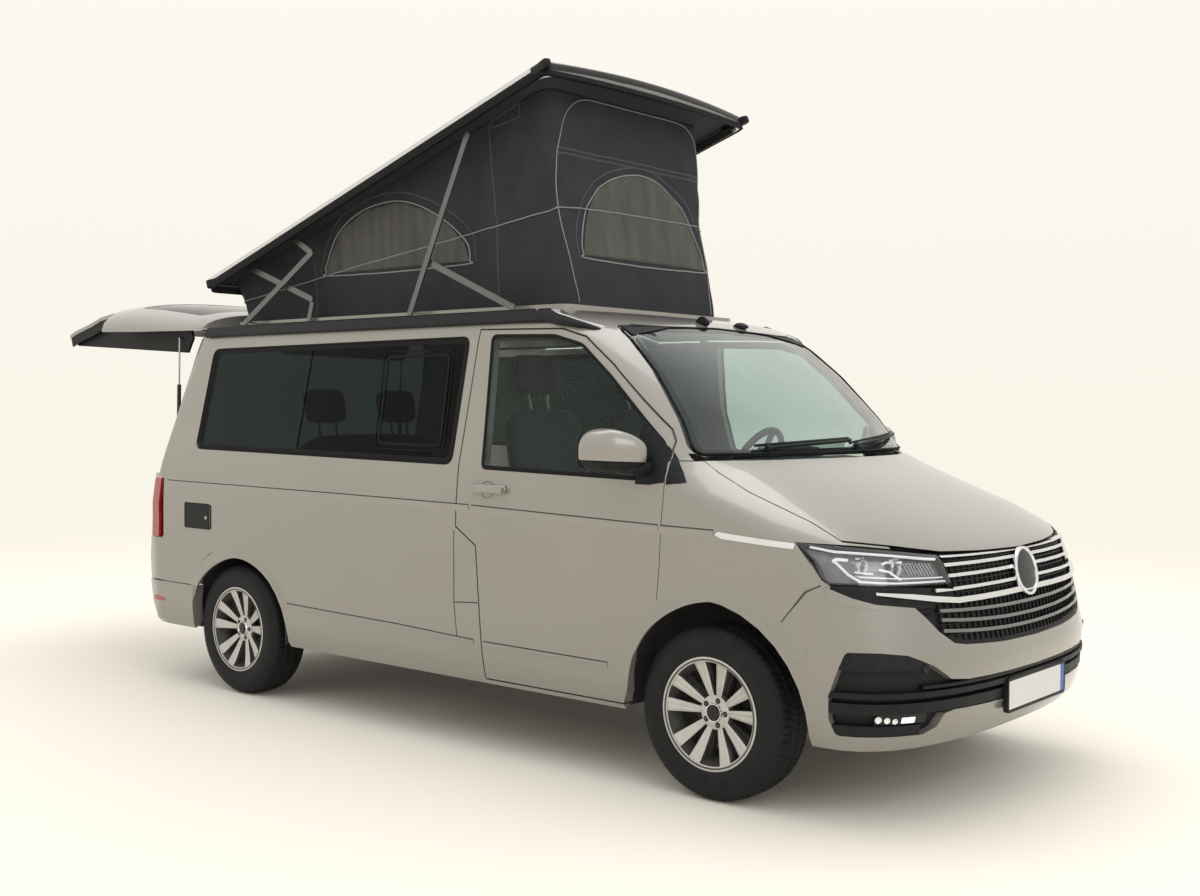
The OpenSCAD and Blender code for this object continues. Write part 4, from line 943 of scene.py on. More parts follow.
def lamp_grid(u, w, out):
    """Point of a headlamp's face: u runs from the grille to the outer tip, w from its foot to its
    top edge, both edges read off their lines by height or length."""
    u, w = np.broadcast_arrays(np.asarray(u, float), np.asarray(w, float))
    first = np.abs(station_at_x(533 + 26 * w, 852 + 123 * w))
    v = first * (1 - u) + LAMP_TIP * u
    z = np.full_like(v, 930.0)
    for _ in range(6):
        p = skin(v, z)
        top = np.interp(p[..., 0], [500, 558, 707, 823, 930], [968, 972, 991, 1006, 1019])
        low = np.interp(p[..., 0], [533, 643, 882, 952], [853, 863, 876, 876])
        tip = np.interp(p[..., 1], [-528, -497, -462, -421, -387], [870, 895, 941, 983, 1016])
        low = np.maximum(low, tip)
        z = low + (top - low) * w
    z = np.maximum(z, LAMP_FOOT)
    return shell(v, z, np.broadcast_to(np.asarray(out, float), v.shape))


def lamp_strip(points, profile, out=0.0, n=60):
    """A profile swept along a line of a headlamp's face, given as (u, w)."""
    p = even_line(points, n)
    path = lamp_grid(p[:, 0], p[:, 1], out)
    near = lamp_grid(p[:, 0], p[:, 1], np.full(n, 10.0) + out)
    return sweep_mesh(path, near - path, profile)


def make_lamps():
    """Each lamp is a lens on the skin, a dark bowl behind it, two projectors with bright C-shaped
    guides round them, and white light guides along its top, outer and lower edges."""
    u, w = np.meshgrid(np.linspace(0.003, 0.985, 90), np.linspace(0.02, 0.98, 26), indexing="ij")
    parts = {"lens": [plate_mesh(lamp_grid(u, w, -0.5), lamp_grid(u, w, -3.0))],
             "bowl": [plate_mesh(lamp_grid(u, w, -36.0), lamp_grid(u, w, -38.0))],
             "guide": [], "bezel": [], "reflector": [], "bulb": []}
    edge = ([(q, 0.03) for q in np.linspace(0.01, 0.97, 30)] + [(0.985, 0.5)]
            + [(q, 0.97) for q in np.linspace(0.97, 0.01, 30)] + [(0.003, 0.5)])
    e = even_line(edge, 200, closed=True)
    path = lamp_grid(e[:, 0], e[:, 1], -4.0)
    up = lamp_grid(e[:, 0], e[:, 1], 6.0) - path
    parts["bezel"].append(sweep_mesh(path, up, [(-4, -33), (-4, 0), (4, 0), (4, -33)], closed=True))
    guide = flat_profile(7, 0, 7, 2)
    parts["guide"] += [
        lamp_strip([(0.02, 0.9), (0.4, 0.9), (0.9, 0.86)], flat_profile(8, 0, 8, 3), -16),
        lamp_strip([(0.03, 0.1), (0.5, 0.1), (0.7, 0.11)], guide, -14),
        lamp_strip([(0.03, 0.24), (0.3, 0.235), (0.68, 0.24)], flat_profile(4, 0, 5, 1), -16),
        lamp_strip([(0.69, 0.12), (0.76, 0.28), (0.83, 0.62), (0.79, 0.68), (0.7, 0.68)],
                   flat_profile(9, 0, 9, 3), -16),
        lamp_strip([(0.36, 0.2), (0.43, 0.42), (0.5, 0.46)], guide, -18),
        lamp_strip([(0.3, 0.72), (0.42, 0.7), (0.46, 0.6)], guide, -18),
        lamp_strip([(0.56, 0.34), (0.63, 0.34), (0.7, 0.36)], flat_profile(5, 0, 6, 2), -18)]
    for cu, cw, r in ((0.36, 0.52, 25), (0.62, 0.52, 23)):
        c = lamp_grid(cu, cw, -26.0)
        axis = np.array([0.12, -1, 0.02])
        parts["reflector"].append(lathe_mesh([(0, -6), (r + 2, -6), (r + 4, 8), (r + 2, 10), (r - 2, 9),
                                              (r - 7, 1), (0, -1)], c, axis, 40))
        parts["bulb"].append(lathe_mesh([(0, 9), (r * 0.3, 8.4), (r * 0.55, 6.2), (r * 0.68, 2),
                                         (r * 0.68, -1), (0, -1)], c, axis, 36))
        parts["reflector"].append(pad_mesh(c + [r * 0.2, 2, r + 8], (r * 2.4, 14, 7), 0.35, 20))
        parts["reflector"].append(pad_mesh(c + [r * 0.2, 2, -r - 7], (r * 2.4, 14, 6), 0.35, 20))
    for k in range(9):
        parts["reflector"].append(lamp_strip([(0.05 + 0.026 * k, 0.34), (0.07 + 0.026 * k, 0.8)],
                                             flat_profile(3, 0, 4, 1), -33, 8))
    for name, material, slot in (("lens", LENS, "lamp_glass"), ("bowl", LAMP_GREY, "black_trim"),
                                 ("guide", LAMP_WHITE, "lamp_glass"), ("bezel", GLOSS_BLACK, "black_trim"),
                                 ("reflector", LAMP_BRIGHT, "chrome"), ("bulb", LAMP_EYE, "lamp_glass")):
        p, f = joined(parts[name] + [mirrored(q) for q in parts[name]])
        piece = mesh_piece("lamp_" + name, p, f, material, slot=slot)
        if name == "bowl":
            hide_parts("headlamps")


LAMP_GREY = surface("lamp_bowl_grey", (0.26, 0.26, 0.28), 0.35, vary=0.15, scale=40, Metallic=0.3)
LAMP_WHITE = surface("lamp_light_guide", (0.9, 0.91, 0.92), 0.2, vary=0.03, scale=60,
                     Emission_Color=(1, 1, 1, 1), Emission_Strength=0.35)
LAMP_BRIGHT = surface("lamp_reflector", (0.62, 0.62, 0.65), 0.18, vary=0.1, scale=50, Metallic=0.85)
LAMP_EYE = surface("lamp_projector_glass", (0.03, 0.035, 0.045), 0.04, vary=0.2, scale=50, Coat_Weight=1.0)
make_lamps()


# ---------------------------------------------------------------- nose: badge, plate, fog lamps, fins
def front_disc(x, z, profile, out=0.0, n=48):
    """A lathed piece standing on the nose, its axis along the skin's normal there."""
    v = station_at_x(x, z)
    return lathe_mesh(profile, shell(v, z, out), skin_normal(v, z), n)


def make_badge():
    """Bare smoked disc in a bright ring, both lathed about the grille's own slope."""
    c = np.array([0, NOSE_Y + float(column(875.0, 2)) - 12, 875.0])
    axis = np.array([0, -1, 0.22])
    ring = lathe_mesh([(84, -18), (95, -18), (96, -2), (94, 3), (90, 5), (85, 3.5), (82, -2)], c, axis, 96)
    mesh_piece("badge_ring", *ring, CHROME, slot="chrome")
    disc = lathe_mesh([(0, 1.5), (30, 1.2), (65, 0), (83, -2), (83, -14), (0, -14)], c, axis, 96)
    mesh_piece("badge_disc", *disc, BADGE, slot="chrome")


def make_fins():
    """Upright and level fins behind the grille's bars, swept along the nose."""
    fins = []
    for x in np.linspace(-610, 610, 36):
        low = np.interp(abs(x), [0, 282, 513, 575, 637], [648, 652, 668, 690, 730])
        high = 955 if abs(x) < 520 else 800
        fins.append(front_strip([(x, low), (x, high)], flat_profile(4, -17, -10, 1), n=14))
    for z in (690, 728, 770, 835, 876, 916, 948):
        half_w = float(np.interp(z, [650, 700, 760, 800, 835, 950], [505, 610, 660, 700, 500, 520]))
        fins.append(front_strip([(-half_w, z), (half_w, z)], flat_profile(5, -17, -9, 1), n=90))
    mesh_piece("grille_fins", *joined(fins), TRIM, slot="black_trim")


def make_slivers():
    """Painted sliver that narrows the black strip under each lamp towards its outer end."""
    first, last = float(station_at_x(838.0, 812.0)), float(station_at_y(-514.0, 860.0))
    k = np.linspace(0, 1, 24)
    low = np.interp(k, [0, 0.45, 1], [790, 799, 824])
    high = np.interp(k, [0, 0.5, 1], [808, 832, 868])
    z = low[:, None] + (high - low)[:, None] * np.linspace(0, 1, 5)[None]
    v = np.broadcast_to((first + (last - first) * k)[:, None], z.shape)
    sliver = plate_mesh(shell(v, z, np.full(z.shape, 0.6)), shell(v, z, np.full(z.shape, -3.2)))
    mesh_piece("bumper_corner_slivers", *joined([sliver, mirrored(sliver)]), PAINT, slot="paint")


def make_plate():
    """Bare number plate in a swept frame, with a bare band at one end."""
    y = -903.5
    line = rounded_line([(-266, 372), (266, 372), (266, 490), (-266, 490)], 9, 160)
    path = np.column_stack([line[:, 0], np.full(160, y), line[:, 1]])
    profile = [(-7, -16), (-7, 2), (-4, 3.6), (4, 3.6), (7, 2), (7, -16)]
    mesh_piece("plate_frame", *sweep_mesh(path, np.tile([0, -1.0, 0], (160, 1)), profile, closed=True), TRIM,
               slot="black_trim")
    mesh_piece("number_plate", *pad_mesh((-20, y, 431), (492, 5, 110), 0.06, 60), PLATE, slot="lid_white")
    mesh_piece("plate_end_band", *pad_mesh((245, y, 431), (38, 5.4, 110), 0.08, 40), BLUE, slot="lid_white")


def make_fog_lamps():
    """Dark bed, three bright eyes and a light guide of each fog lamp, and the sensor above it."""
    dark, bright, white = [], [], []
    for s in (-1, 1):
        x, z = np.meshgrid(np.linspace(704, 872, 30), np.linspace(388, 424, 8), indexing="ij")
        dark.append(front_plate(s * x, z, -9, -11))
        for x, z, r in ((866, 412, 11), (842, 409, 10), (818, 405, 9)):
            eye = [(0, -5), (r * 0.6, -4), (r, 1), (r + 1.5, 1.5), (r + 1.5, -4), (0, -8)]
            bright.append(front_disc(s * x, z - 3, eye, -4, 28))
        x, z = np.meshgrid(np.linspace(750, 796, 16), np.linspace(393, 413, 8), indexing="ij")
        white.append(front_plate(s * x, z, -4, -8))
        dark.append(front_disc(s * 726, 582, [(0, 3), (8, 3), (12, 2), (14, -1), (14, -5), (0, -5)], 1, 32))
    for name, parts, material, slot in (("fog_lamp_beds", dark, GLOSS_BLACK, "black_trim"),
                                        ("fog_lamp_eyes", bright, CHROME, "chrome"),
                                        ("fog_lamp_guides", white, LAMP_WHITE, "lamp_glass")):
        mesh_piece(name, *joined(parts), material, slot=slot)


def front_plate(x, z, out, inner):
    """Thin plate laid along the nose over a grid of (x, z)."""
    v = station_at_x(x, z)
    o = np.full(x.shape, float(out))
    return plate_mesh(shell(v, z, o), shell(v, z, o - abs(out - inner)))


BADGE = surface("smoked_badge_disc", (0.012, 0.014, 0.017), 0.2, vary=0.2, scale=20, Specular_IOR_Level=0.3)
PLATE = surface("bare_plate_white", (0.62, 0.63, 0.62), 0.35, vary=0.03, scale=20)
BLUE = surface("bare_plate_blue", (0.015, 0.09, 0.38), 0.35, vary=0.08, scale=30)
make_badge()
make_fins()
make_slivers()
make_plate()
make_fog_lamps()


# ---------------------------------------------------------------- wheels
def ring_points(radius, along, angle, hub, side):
    """Points round a wheel: radius, distance outwards along its axle, and angle."""
    return np.stack([side * along + hub[0] + 0 * angle, hub[1] + radius * np.cos(angle),
                     hub[2] + radius * np.sin(angle)], -1)


BLOCKS = 72


def tyre_mesh(hub, side):
    """Tyre as a grid of profile by angle. Its radius drops in three round grooves and, on the
    shoulders, in slots that repeat round it; low rings and ribs stand out on the side walls."""
    half = even_line([(206, 85.5), (212, 92), (218, 99.5), (232, 104.5), (256, 107.4), (270, 107.3),
                      (285, 105.6), (300, 100.5), (317, 91.5), (327, 82), (332, 73.5), (335, 58),
                      (337, 45.5), (337, 30), (337, 15), (337, 0)], 74)
    full = np.vstack([half, half[::-1][1:] * [1, -1]])
    inner = even_line([(247, -78), (300, -60), (306, 0), (300, 60), (247, 78)], 12)
    n = 8 * BLOCKS
    a = np.arange(n) * 2 * math.pi / n
    between = np.cos(BLOCKS * a)[None] > 0.55
    rr = full[:, 0][:, None] * np.ones(n)
    xx = full[:, 1][:, None] * np.ones(n)
    tread = rr > 334.2
    groove = np.zeros_like(rr)
    for c in (-46, 0, 46):
        groove = np.maximum(groove, np.clip(1.4 - np.abs(xx - c) / 4.5, 0, 1))
    slot = between & (np.abs(xx) > 50) & (rr > 326)
    fine = (np.cos(BLOCKS * a[None] + np.abs(xx) * 0.09) > 0.82) & (np.abs(xx) < 44) & tread
    rr = rr - np.where(tread, 6.5 * groove, 0) - np.where(slot, 4.0, 0) - np.where(fine, 2.2, 0)
    out = np.sign(xx)
    wall = (np.abs(xx) > 84) & (rr < 322)
    for c, h in ((228, 0.9), (262, 0.8), (268, 0.8), (296, 1.0), (303, 0.8)):
        xx = xx - np.where(wall, out * h * np.clip(1 - np.abs(rr - c) / 1.8, 0, 1), 0)
    xx = xx - np.where(wall & (rr > 306) & between, out * 1.6, 0)
    rr = np.vstack([rr, inner[:, 0][:, None] * np.ones(n)])
    xx = np.vstack([xx, inner[:, 1][:, None] * np.ones(n)])
    p = ring_points(rr, xx, a[None], hub, side)
    return outward(p, grid_quads(len(rr), n, wrap_u=True, wrap_v=True))


def spoke_face(angle, hub, side):
    """Crowned blade over one spoke: it widens from the hub to the rim and has a soft ridge and
    a shallow channel."""
    r, c = np.meshgrid(np.linspace(50, 199, 30), np.linspace(-1, 1, 15), indexing="ij")
    across = np.interp(r, [58, 90, 197], [11, 15, 26]) * c
    top = np.interp(r, [58, 80, 150, 190, 199], [60, 66, 80, 91, 96])
    top = top - 3.2 * np.abs(c) ** 3 - 2.0 * np.exp(-(c / 0.22) ** 2)
    ca, sa = math.cos(angle), math.sin(angle)

    def place(y, z):
        return np.stack([hub[0] + side * z, hub[1] + r * ca - y * sa, hub[2] + r * sa + y * ca], -1)
    return plate_mesh(place(across, top), place(across * 0.86, top - 26 + 2.6 * np.abs(c) ** 3))


WHEEL_RINGS = (
    ("rim_lip_", ALLOY, "wheel_alloy", 120,
     [(199, 98), (206, 101.8), (213, 103.0), (217.6, 101.8), (217.8, 100), (204, 98), (199, 96)]),
    ("hub_cap_", GLOSS_BLACK, "black_trim", 64, [(0, 71), (20, 70.6), (28, 69), (31, 66), (31, 48), (0, 48)]),
    ("hub_ring_", CHROME, "chrome", 64, [(30, 60), (36, 60), (37, 67), (34.5, 71.5), (31.5, 71), (30, 68)]),
    ("hub_face_", ALLOY, "wheel_alloy", 64, [(28, 61), (60, 62), (66, 59), (70, 50), (70, 34), (28, 34)]))
BOLT_CIRCLE = 49


def make_wheels():
    """Tread, spoke faces, lathed rings and caps, the CAD rim coloured as painted shade, and wheel bolts on
    discs of painted shade for their pockets, of each wheel.
    """
    for name, side, y in (("front_right", -1, 0.0), ("front_left", 1, 0.0), ("rear_right", -1, WHEELBASE),
                          ("rear_left", 1, WHEELBASE)):
        hub, axis = np.array([side * TRACK_X, y, HUB_Z]), (side, 0, 0)
        body = "wheel_" + name
        tyre = mesh_piece("tyre_tread_" + name, *tyre_mesh(hub, side), TYRE, body=body, slot="tyre", sharp=40)
        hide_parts("tyre_" + name)
        turn = [72 * k + d for k in range(5) for d in (-15, 15)]
        blades = [spoke_face(math.radians(-side * (90 - q)), hub, side) for q in turn]
        mesh_piece("spoke_faces_" + name, *joined(blades), ALLOY, body=body, slot="wheel_alloy", sharp=30)
        for kind, material, slot, count, profile in WHEEL_RINGS:
            mesh_piece(kind + name, *lathe_mesh(profile, hub, axis, count), material, body=body, slot=slot)
        # The CAD rim behind the new spoke faces is coloured almost black: painted shade of the wheel's well and
        # barrel.
        frame["nodes"]["rim_" + name].data.materials[0] = RIM_SHADE
        places = [hub + [0, BOLT_CIRCLE * math.cos(a), BOLT_CIRCLE * math.sin(a)]
                  for a in np.radians(np.arange(5) * 72 + 36)]
        bolts = [bolt(place + [side * 57, 0, 0], axis, 6.5, 9.5) for place in places]
        # Gloss black discs round the bolts stand for their pockets: painted shade of the recesses.
        pocket_shades = [lathe_mesh([(0, 62.6), (11, 62.6), (11.5, 62.0), (11.5, 58), (0, 58)], place, axis, 24)
                   for place in places]
        mesh_piece("wheel_bolts_" + name, *joined(bolts), IRON, body=body, slot="steel")
        mesh_piece("bolt_pocket_shades_" + name, *joined(pocket_shades), GLOSS_BLACK, body=body, slot="black_trim")


# Almost black colour for the CAD rim: painted shade.
RIM_SHADE = surface("painted_shade_rim_well", (0.07, 0.068, 0.066), 0.45, vary=0.2, scale=30)
make_wheels()


# ---------------------------------------------------------------- mirrors
MIRROR_X, MIRROR_Y, MIRROR_Z = 1052, 376, 1327
MIRROR_EDGE = 1147.5


def mirror_head(power, size, cut, keep, grow=0.0):
    """Half of a mirror's head on the driver's side: a swept superellipsoid kept above or below the
    height of its cut, and flat at its outer edge."""
    p, f = pad_mesh((0, 0, 0), (2, 2, 2), power, 56)
    x, y, z = p.T
    lean = 1.0 - 0.10 * (z > 0) * z ** 2
    slope = 1 - 0.42 * (z > 0) * np.clip((0.45 - x) / 1.45, 0, 1) ** 1.5
    half = 96 + grow
    p = np.stack([MIRROR_X + half * x * lean, MIRROR_Y + 46 * x + half * y * (1 - 0.16 * x),
                  MIRROR_Z + (size + grow) * z * slope], -1)
    p[:, 0] = np.minimum(p[:, 0], MIRROR_EDGE)
    line = cut + (p[:, 0] - MIRROR_X) * 0.04
    p[:, 2] = np.maximum(p[:, 2], line) if keep == "above" else np.minimum(p[:, 2], line)
    return outward(p, f)


def make_mirrors():
    """Painted cap, black base with its arm, and glass of both mirrors, riding on the doors."""
    cap = mirror_head(0.72, 92, 1290, "above")
    base = joined([mirror_head(0.66, 80, 1287, "below", -3),
                   pad_mesh((968, 330, 1262), (150, 120, 54), 0.6, 36, rot_z(14)),
                   pad_mesh((1054, 447, 1330), (172, 18, 140), 0.35, 40, rot_z(24))])
    face = pad_mesh((1054, 452, 1330), (150, 10, 120), 0.35, 40, rot_z(24))
    for side in ("right", "left"):
        for name, part, material, slot in (("cap", cap, PAINT, "paint"), ("base", base, TRIM, "black_trim"),
                                           ("glass", face, CHROME, "chrome")):
            shape = part if side == "left" else mirrored(part)
            o = mesh_piece(f"mirror_{name}_{side}", *shape, material, body="door_" + side, slot=slot)
            if name == "base":
                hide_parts("mirror_" + side)


make_mirrors()


# ---------------------------------------------------------------- side: seals, lines, trim
def side_plate(y, z, out, inner):
    """Closed plate on the driver's side over a grid of (y, z), between two heights off the skin."""
    return plate_mesh(*(on_side(y, z, np.full(y.shape, float(off))) for off in (out, inner)))


def fill_side(outline, out, inner, n=26, m=22):
    """Plate over a convex outline on the side, given as (y, z): rows between its left and right
    edges at each height."""
    o = np.asarray(outline, float)
    z = np.linspace(o[:, 1].min() + 0.5, o[:, 1].max() - 0.5, m)
    q = np.vstack([o, o[:1]])
    left, right = np.full(m, 1e9), np.full(m, -1e9)
    for a, b in zip(q[:-1], q[1:]):
        lo, hi = min(a[1], b[1]), max(a[1], b[1])
        inside = (z >= lo) & (z <= hi) & (hi > lo)
        y = a[0] + (z - a[1]) / (b[1] - a[1] + 1e-9) * (b[0] - a[0])
        left = np.where(inside, np.minimum(left, y), left)
        right = np.where(inside, np.maximum(right, y), right)
    k = np.linspace(0, 1, n)[:, None]
    yy = left[None] * (1 - k) + right[None] * k
    return side_plate(yy, np.broadcast_to(z[None], yy.shape), out, inner)


DOOR_WINDOW = [(345, 1218), (1196, 1234), (1206, 1806), (845, 1797), (690, 1757), (530, 1628),
               (366, 1474), (236, 1352), (330, 1225)]
SIDE_GLASS = [(1389, 1243), (3349, 1268), (3271, 1792), (1345, 1805)]
DOOR_CORNER = [(206, 1198), (345, 1197), (345, 1452), (300, 1412), (236, 1352), (212, 1336)]
ARCHES = ([(380, 392), (372, 440), (346, 530), (257, 655), (109, 747), (-53, 782), (-211, 760),
           (-337, 682), (-405, 585)],
          [(3350, 462), (3310, 545), (3231, 620), (3130, 677), (3009, 716), (2900, 718), (2794, 690),
           (2700, 640), (2629, 578), (2560, 490)])
CREASES = (("", [(3588, 1091), (2132, 1081), (1262, 1072)]),
           ("door_", [(1248, 1071), (418, 1050), (224, 1046)]),
           ("", [(212, 1045), (-40, 1041)]),
           ("", [(2560, 520), (1704, 504), (1228, 487)]),
           ("door_", [(1168, 486), (470, 482)]))
SHADE_LINE = [(-2.4, -2), (2.4, -2), (2.4, 0.35), (-2.4, 0.35)]
BELOW_CREASE = [(-30, -3), (-1, -3), (-1, 1.6), (-4, 3.2), (-9, 3.0), (-30, -0.6)]
ARCH_LIP = [(-9, -8), (60, -3), (60, -0.8), (14, 1.4), (5, 3.6), (-2, 4.2), (-9, 2.6)]


def rail_front():
    """Front end of the awning rail and the pale strip over it: plates over the roof's edge that
    narrow and sink into the skin towards the nose."""
    u, c = np.meshgrid(np.linspace(-0.22, 1, 40), np.linspace(-1, 1, 7), indexing="ij")
    y = 905 - 243 * u
    middle = np.interp(u, [0, 0.27, 0.64, 1], [1876, 1858, 1839, 1822])
    half = np.interp(u, [0, 1], [20, 4])
    out = np.interp(u, [-0.22, 0, 0.75, 1], [25.4, 25.0, 17.0, 2.5])
    over = middle + half + 7 + 6 * c * (1 - 0.6 * u)
    return [plate_mesh(on_side(y, z, out * share - 3 * np.abs(c) ** 4), on_side(y, z, np.full(y.shape, -2.0)))
            for z, share in ((middle + c * half, 1.0), (over, 0.36))]


def side_parts():
    """Seals, borders, creases, arch lips, shut lines and handle of the driver's side, in groups."""
    groups = {}

    def add(group, *parts):
        groups.setdefault(group, []).extend(parts)
    inset = rounded_line([(1403, 1257), (3335, 1281), (3260, 1779), (1359, 1791)], 36, 300)
    add("seal", side_strip(inset, flat_profile(26, -2.6, -1.8, 0.3), True),
        side_strip(rounded_line(SIDE_GLASS, 45, 300), flat_profile(8, -3, 0.6, 0.5), True))
    for shift, wide in ((0, 12), (24, 4)):
        box = [(1474 - shift, 1321 - shift), (1889 + shift, 1326 - shift), (1878 + shift, 1726 + shift),
               (1463 - shift, 1728 + shift)]
        add("seal", side_strip(rounded_line(box, 30, 160), flat_profile(wide, -2.6, 1.2, 0.8), True))
    add("door_seal", side_strip(rounded_line(DOOR_WINDOW, 22, 240), flat_profile(14, -3, 1.4, 0.8), True),
        side_strip([(350, 1222), (1190, 1238)], flat_profile(15, -2, 4, 2), n=60))
    add("door_black", fill_side(DOOR_CORNER, 2.4, -4))
    rail, strip = rail_front()
    add("black", fill_side([(106, 1211), (195, 1202), (204, 1326), (165, 1279)], 2.4, -3), rail)
    lock = on_side(1154.0, 1142.0), on_side_normal(1154.0, 1142.0)
    add("door_shade", lathe_mesh([(35, 0.5), (37.5, 0.5), (37.5, -2), (35, -2)], *lock, 56))
    for group, line in CREASES:
        run = even_line(line, 90)
        add(group + "shade", side_strip(run, SHADE_LINE))
        add(group + "crease", side_strip(run - [0, 2.4], BELOW_CREASE))
    add("crease", *(side_strip(smooth_line(points, 140), ARCH_LIP) for points in ARCHES))
    add("shade", side_strip([(-344, 728), (-441, 844), (-497, 872)], SHADE_LINE, n=60),
        side_strip([(3711, 536), (3346, 539), (3332, 470)], SHADE_LINE, n=60))
    add("chrome", fill_side([(-386, 993), (-388, 1013), (-60, 1036), (-46, 1024), (-78, 1011)], 2.4, -2))
    add("light", side_strip([(905, 1905), (2000, 1906), (3400, 1906)], flat_profile(8, -4, 9, 2), n=160), strip)
    k = np.linspace(0, 1, 40)
    y, z = 1050 + 196 * k, np.full(40, 1146.0)
    bar = on_side(y, z, 20 * np.sin(math.pi * k) ** 0.4 + 2)
    add("door_handle", sweep_mesh(bar, on_side_normal(y, z),
                                  [(-15, -5), (15, -5), (16, 3), (10, 9), (-10, 9), (-16, 3)]))
    return groups


def make_side():
    """The groups of the driver's side and their mirror on the other side; those of a door ride on
    it. The fuel flap and the service hatch are on the other side alone."""
    groups = side_parts()
    for name, group, material, slot in (
            ("window_seals", "seal", RUBBER, "black_trim"), ("body_creases", "crease", PAINT, "paint"),
            ("mirror_corner_fronts", "black", TRIM, "black_trim"),
            ("body_line_shades", "shade", SHADE, "black_trim"),
            ("bare_wing_strips", "chrome", CHROME, "chrome"), ("roof_rail_strips", "light", LID, "lid_white")):
        both = joined(groups[group] + [mirrored(q) for q in groups[group]])
        mesh_piece(name, *both, material, slot=slot, sharp=50)
    for door in ("right", "left"):
        for name, group, material, slot in (
                ("door_seals_", "door_seal", RUBBER, "black_trim"),
                ("door_creases_", "door_crease", PAINT, "paint"),
                ("door_corner_", "door_black", TRIM, "black_trim"),
                ("door_line_shades_", "door_shade", SHADE, "black_trim"),
                ("door_handle_", "door_handle", PAINT, "paint")):
            part = joined(groups[group])
            mesh_piece(name + door, *(part if door == "left" else mirrored(part)), material,
                       body="door_" + door, slot=slot, sharp=50)
    flap = [side_strip([(1352, 956), (1350, 640), (1330, 474)], SHADE_LINE, n=60, side=-1),
            side_strip([(1204, 650), (1346, 640)], SHADE_LINE, n=30, side=-1)]
    mesh_piece("fuel_flap_lines", *joined(flap), SHADE, slot="black_trim")
    y, z = rounded_line([(3182, 849), (3412, 849), (3412, 970), (3182, 970)], 10, 140).T
    rim = sweep_mesh(on_side(y, z, 1.0, -1), on_side_normal(y, z, -1),
                     [(-5, -2), (5, -2), (5, 2.5), (-5, 2.5)], True)
    mesh_piece("hatch_frame", *rim, TRIM, body="service_hatch", slot="black_trim")
    lock = lathe_mesh([(0, 4), (7, 4), (9, 2), (9, -2), (0, -2)], on_side(3222.0, 905.0, 1.0, -1),
                      on_side_normal(3222.0, 905.0, -1), 32)
    mesh_piece("hatch_lock", *lock, STEEL, body="service_hatch", slot="steel")


make_side()


# ---------------------------------------------------------------- rear bumper's reflectors
def make_rear():
    """Red reflectors let into the corners of the rear bumper."""
    y, z = np.meshgrid(np.linspace(3606, 3724, 30), np.linspace(432, 452, 7), indexing="ij")
    reflector = side_plate(y, z, 7.6, 5.0)
    mesh_piece("rear_reflectors", *joined([reflector, mirrored(reflector)]), RED, slot="lamp_red")


make_rear()


# ---------------------------------------------------------------- linkage bolts and brackets
def lift(y, z):
    """Where a place of the closed lid, given as (y, z), stands at rest."""
    return tuple(lid_up(np.array([0.0, y, z]))[1:])


PIVOTS = (("roof_struts", "outer", (1905, 1942)), ("roof_struts", "outer", lift(1307, 1895)),
          ("roof_struts", "outer", (1789, 2176)), ("roof_braces", "second", (1244, 1942)),
          ("rear_links", "outer", (3208, 1942)), ("rear_links", "outer", (2653, 2272)),
          ("link_arms", "second", lift(2652, 1942)), ("rear_scissors", "third", (2686, 2046)),
          ("rear_scissors", "third", lift(3065, 1942)), ("scissor_arms", "inner", (2718, 1942)))


def make_linkage():
    """Bolt heads on the pivots, riding on the bar they hold, and brackets under the lid that the
    struts' heads meet."""
    bodies = {}
    for body, lane, (y, z) in PIVOTS:
        heads = [bolt((s * (LANES[lane] + 4.4), y, z), (s, 0, 0), 9, 4.5) for s in (-1, 1)]
        bodies.setdefault(body, []).extend(heads)
    for body, parts in bodies.items():
        mesh_piece("bolts_" + body, *joined(parts), BLACK_STEEL, body=body, slot="black_steel")
    p, f = joined([pad_mesh((s * 722, 1307, 1948), (12, 90, 34), 0.3, 24) for s in (-1, 1)])
    mesh_piece("strut_brackets", lid_up(p), f, BLACK_STEEL, body="roof_lid", slot="black_steel")


make_linkage()


# ---------------------------------------------------------------- roof fittings
def make_roof_parts():
    """Aerial fin near the roof's middle line and the latch block beside it, ahead of the lid: closed
    superellipsoids that narrow and lean a little as they rise."""
    parts = []
    for centre, half, lean in (((-60, 663, 1890), (17, 34, 23), 3), ((240, 660, 1884), (38, 28, 15), 2)):
        p, f = pad_mesh((0, 0, 0), (2, 2, 2), 0.6, 36)
        x, y, z = p.T
        slim = 1 - 0.5 * np.clip(z, 0, 1)
        grown = np.stack([half[0] * x * slim, half[1] * y * slim + lean * z, half[2] * z], -1)
        parts.append(outward(np.array(centre) + grown, f))
    mesh_piece("roof_fittings", *joined(parts), TRIM, slot="black_trim")


make_roof_parts()


